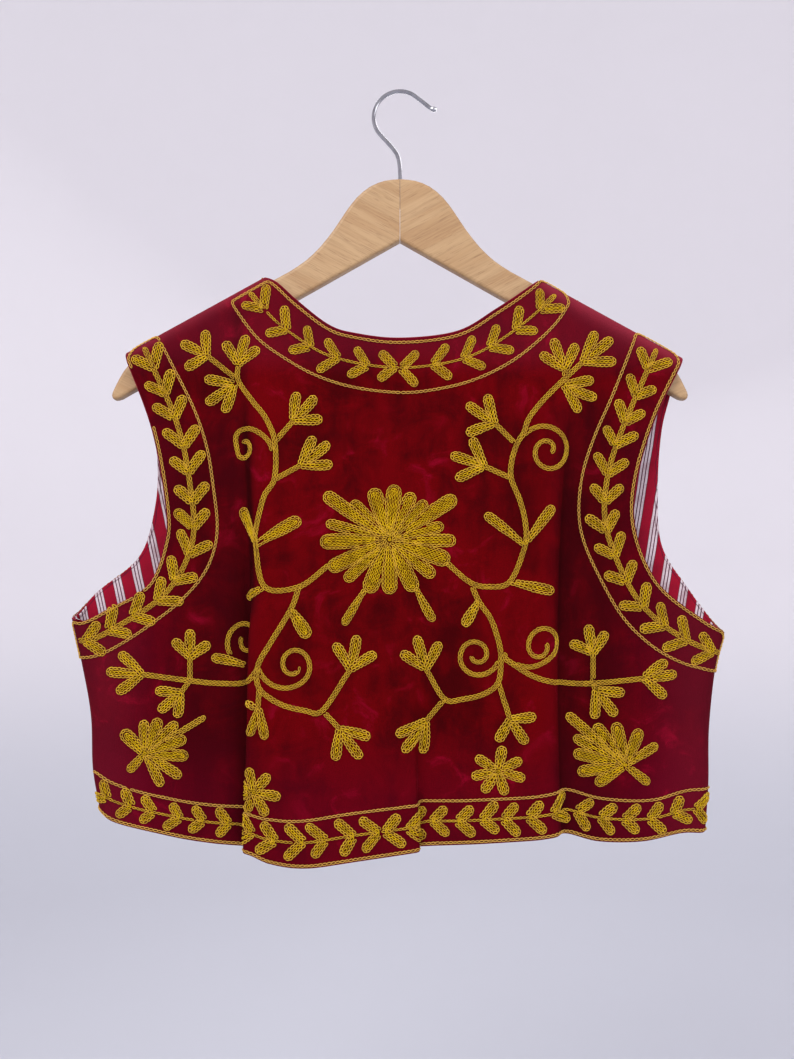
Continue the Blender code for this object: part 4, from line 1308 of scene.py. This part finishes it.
# Scrolls: place of the middle, heading it begins at, the step of its turning, and the radius at each step
scrolls = [
    (-120, -277, -13, 45, (23, 15.5, 12.8, 10.8, 6.8, 6.8, 10.5, 8, 4.8, 4, 3.2, 1.8)),
    (-80, -447, 180, 90, (28, 14.6, 11.4, 13.1, 8.8, 5, 2.8)),
    (-120, -428, 225, -45, (15.2, 13, 12.6, 13.2, 12, 10, 9, 7.5, 3.7, 3.2, 3.2)),
    (114, -281, 150, -80, (22, 16.4, 14, 14.8, 10.7, 7.3, 4.4, 3)),
    (57, -439, 8, -90, (20, 14.6, 11.2, 11.3, 9.4, 4.4, 2.6)),
    (109, -431, 190, 80, (31, 13, 10.5, 13.6, 11.6, 10.4, 4.6, 3)),
]
# Single leaves: base, heading, length and width
leaves = [
    (-110, -354, 33, 40, 10.5), (-110, -352, 118, 30, 9.5), (-103, -386, 207, 21, 7.5),
    (-83, -403, -57, 26, 11), (-119, -447, 163, 28, 8.5), (84, -382, -13, 35, 9), (95, -354, 140, 39, 8.5),
    (95, -354, 53, 38, 8.5), (60, -397, 238, 23, 9), (-26.6, -388, 237, 32.5, 7),
    (12.2, -387, 294, 29.5, 7.5), (-107, -478, -79, 25, 8), (-108, -478, -106, 23, 7.5),
    (-107, -480, 150, 13, 6.5),
]


def backField(work):
    for row in flowers:
        flower(work, *row)
    for row in sprigs:
        sprig(work, *row)
    for points in vines:
        vine(work, rows(*points))
    for row in scrolls:
        scroll(work, *row)
    for x, z, turn, length, width in leaves:
        base, bend = np.array([x, z]) * mm, dice.uniform(-single["bend"], single["bend"])
        petal(work, base, math.radians(turn), length * mm, width * mm, bend, single["narrow"], layerOf(*base))


for name, fill in (("backBorderStitches", backBorders), ("backFlowerStitches", backField)):
    work = Sewing(backRelief, -1, backOutline, clothUnder)
    fill(work)
    work.make(name)
print("back embroidered")


# ---- the fronts, which hang behind: the borders carried on, and one vine each ----
frontBand = {
    "width": 33 * mm, "corner": 32.6 * mm, "middle": 18 * mm, "inset": 1.6 * mm, "armholeInset": 0.15 * mm,
}
frontVine = ((90, -530), (104, -490), (100, -450), (116, -410), (112, -360), (122, -310))
frontFlower = {"x": 126, "z": -288, "petals": 9, "reach": 26, "longer": 3, "width": 10, "narrow": 0.62}
frontSprigs = (
    (104, -490, 20, 40, 24), (100, -450, 160, 40, 24), (116, -410, 25, 40, 24), (112, -360, 150, 40, 22),
    (90, -530, 200, 40, 22),
)


def frontBorders(work, side):
    # Each inner line runs only where it is no nearer the other edges than its own, so that they meet at the
    # corners
    way = ways[side]
    parts = "FrontArmhole", "FrontEdge", "FrontHem"
    edges = {part: along(line[side + part])(np.linspace(0, 1, 300)).T for part in parts}
    for part, points in edges.items():
        isArmhole = part == "FrontArmhole"
        inwards = way if isArmhole else -way
        others = np.concatenate([edges[other] for other in edges if other != part])
        inner = offsetLine(points, inwards * frontBand["width"])
        borderLine(work, offsetLine(points, inwards * frontBand["armholeInset" if isArmhole else "inset"]))
        borderLine(work, inner[nearestOf(inner, others) >= frontBand["corner"]])
        leafBand(work, offsetLine(points, inwards * frontBand["middle"]), *bands[part])


def frontField(work, side):
    # One vine with a flower at its top and sprigs along it, turned over on the left
    way = ways[side]
    vine(work, rows(*((way * x, z) for x, z in frontVine)))
    look = frontFlower
    petals = [
        (n * 360 / look["petals"] + 90, look["reach"] + look["longer"] * (n % 2), look["width"])
        for n in range(look["petals"])
    ]
    flower(work, way * look["x"], look["z"], petals, look["narrow"])
    for x, z, turn, spread, length in frontSprigs:
        sprig(work, way * x, z, turn if way > 0 else 180 - turn, spread, length)


for side in ways:
    hem, edge, armhole = (line[side + part] for part in ("FrontHem", "FrontEdge", "FrontArmhole"))
    shoulder, seam = [edge[-1], armhole[-1]], line[side + "Side"]
    outline = panelOutline((hem, 1), (edge, 1), (shoulder, 1), (armhole, -1), (seam, -1))
    work = Sewing(frontRelief, 1, outline)
    frontBorders(work, side)
    frontField(work, side)
    work.make(side + "FrontStitches")
print("fronts embroidered")

# ---- hanger ----
hanger = {"hanger_arm_" + side: woodMaterial(side + "ArmBeech", way) for side, way in ways.items()}
hanger["hanger_hook"] = chromeMaterial()
for node, material in hanger.items():
    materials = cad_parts[node].data.materials
    materials.clear()
    materials.append(material)


# ---- studio: a pale round sweep with painted shade towards the floor, soft lights and a pale sky ----
studio = {
    "floor": -1.15, "radius": 2.3, "curve": 0.7, "wall": 3.3, "hole": 0.0005, "sides": 96, "rings": (8, 14),
    "colour": (0.78, 0.755, 0.785), "low": (0.50, 0.51, 0.56), "paleFrom": -0.45, "duller": 0.97,
    "sky": (0.86, 0.86, 0.92, 1), "skyStrength": 0.95, "vestMiddle": (0, 0, -0.36),
}


def makeSweep():
    # A floor that turns up into a round wall: a profile of floor, quarter circle and wall, spun about Z
    curve, (flatRings, bendRings) = studio["curve"], studio["rings"]
    bend = np.linspace(0, math.pi / 2, bendRings)
    flatR = np.linspace(studio["hole"], studio["radius"] - curve, flatRings)[:-1]
    r = np.concatenate([flatR, studio["radius"] - curve * (1 - np.sin(bend)), [studio["radius"]]])
    z = np.concatenate([np.zeros_like(flatR), curve * (1 - np.cos(bend)), [studio["wall"]]]) + studio["floor"]
    angle = np.linspace(0, 2 * math.pi, studio["sides"] + 1)
    rings = np.outer(r, np.cos(angle)), np.outer(r, np.sin(angle)), np.outer(z, np.ones_like(angle))
    material, shade = newMaterial("paleSweep")
    place = shade.node("TexCoord", out=3)
    duller = tuple(c * studio["duller"] for c in studio["colour"])
    pale = layered(studio["colour"], (place.noise(3, 3), duller))
    # Painted shade: the sweep darkens towards the floor, below paleFrom
    base = layered(studio["low"], (place.axis(2).between(studio["floor"], studio["paleFrom"]), pale))
    surfaceOf(shade, base, 0.9, {"Specular IOR Level": 0.1})
    faces = netFaces(np.arange(r.size * angle.size).reshape(r.size, -1))
    newPiece("paleSweep", np.stack(rings, axis=-1).reshape(-1, 3), faces, material)


lights = [  # name, place, size, power, colour
    ("keyLight", (-0.9, -1.5, 1.0), 1.2, 34, (1.0, 0.98, 0.97)),
    ("fillLight", (1.3, -1.2, 0.2), 1.4, 13, (0.96, 0.97, 1.0)),
    ("backLight", (0.4, 1.6, 0.9), 1.4, 18, (1.0, 0.98, 0.97)),
]


def makeLights():
    # Discs that look at the vest's middle
    for name, place, size, power, colour in lights:
        data = bpy.data.lights.new(name, "AREA")
        data.shape = "DISK"
        data.size = size
        data.energy = power
        data.color = colour
        lamp = bpy.data.objects.new(name, data)
        lamp.location = place
        x, y, z = np.array(studio["vestMiddle"]) - np.array(place)
        lamp.rotation_euler = (math.atan2(math.hypot(x, y), -z), 0, math.atan2(y, x) - math.pi / 2)
        lamp.visible_camera = False
        scene.collection.objects.link(lamp)
    world = bpy.data.worlds.new("paleSky")
    world.use_nodes = True
    sky = world.node_tree.nodes["Background"].inputs
    sky["Color"].default_value = studio["sky"]
    sky["Strength"].default_value = studio["skyStrength"]
    scene.world = world
    scene.view_settings.view_transform = "Standard"


makeSweep()
makeLights()
print("studio made")
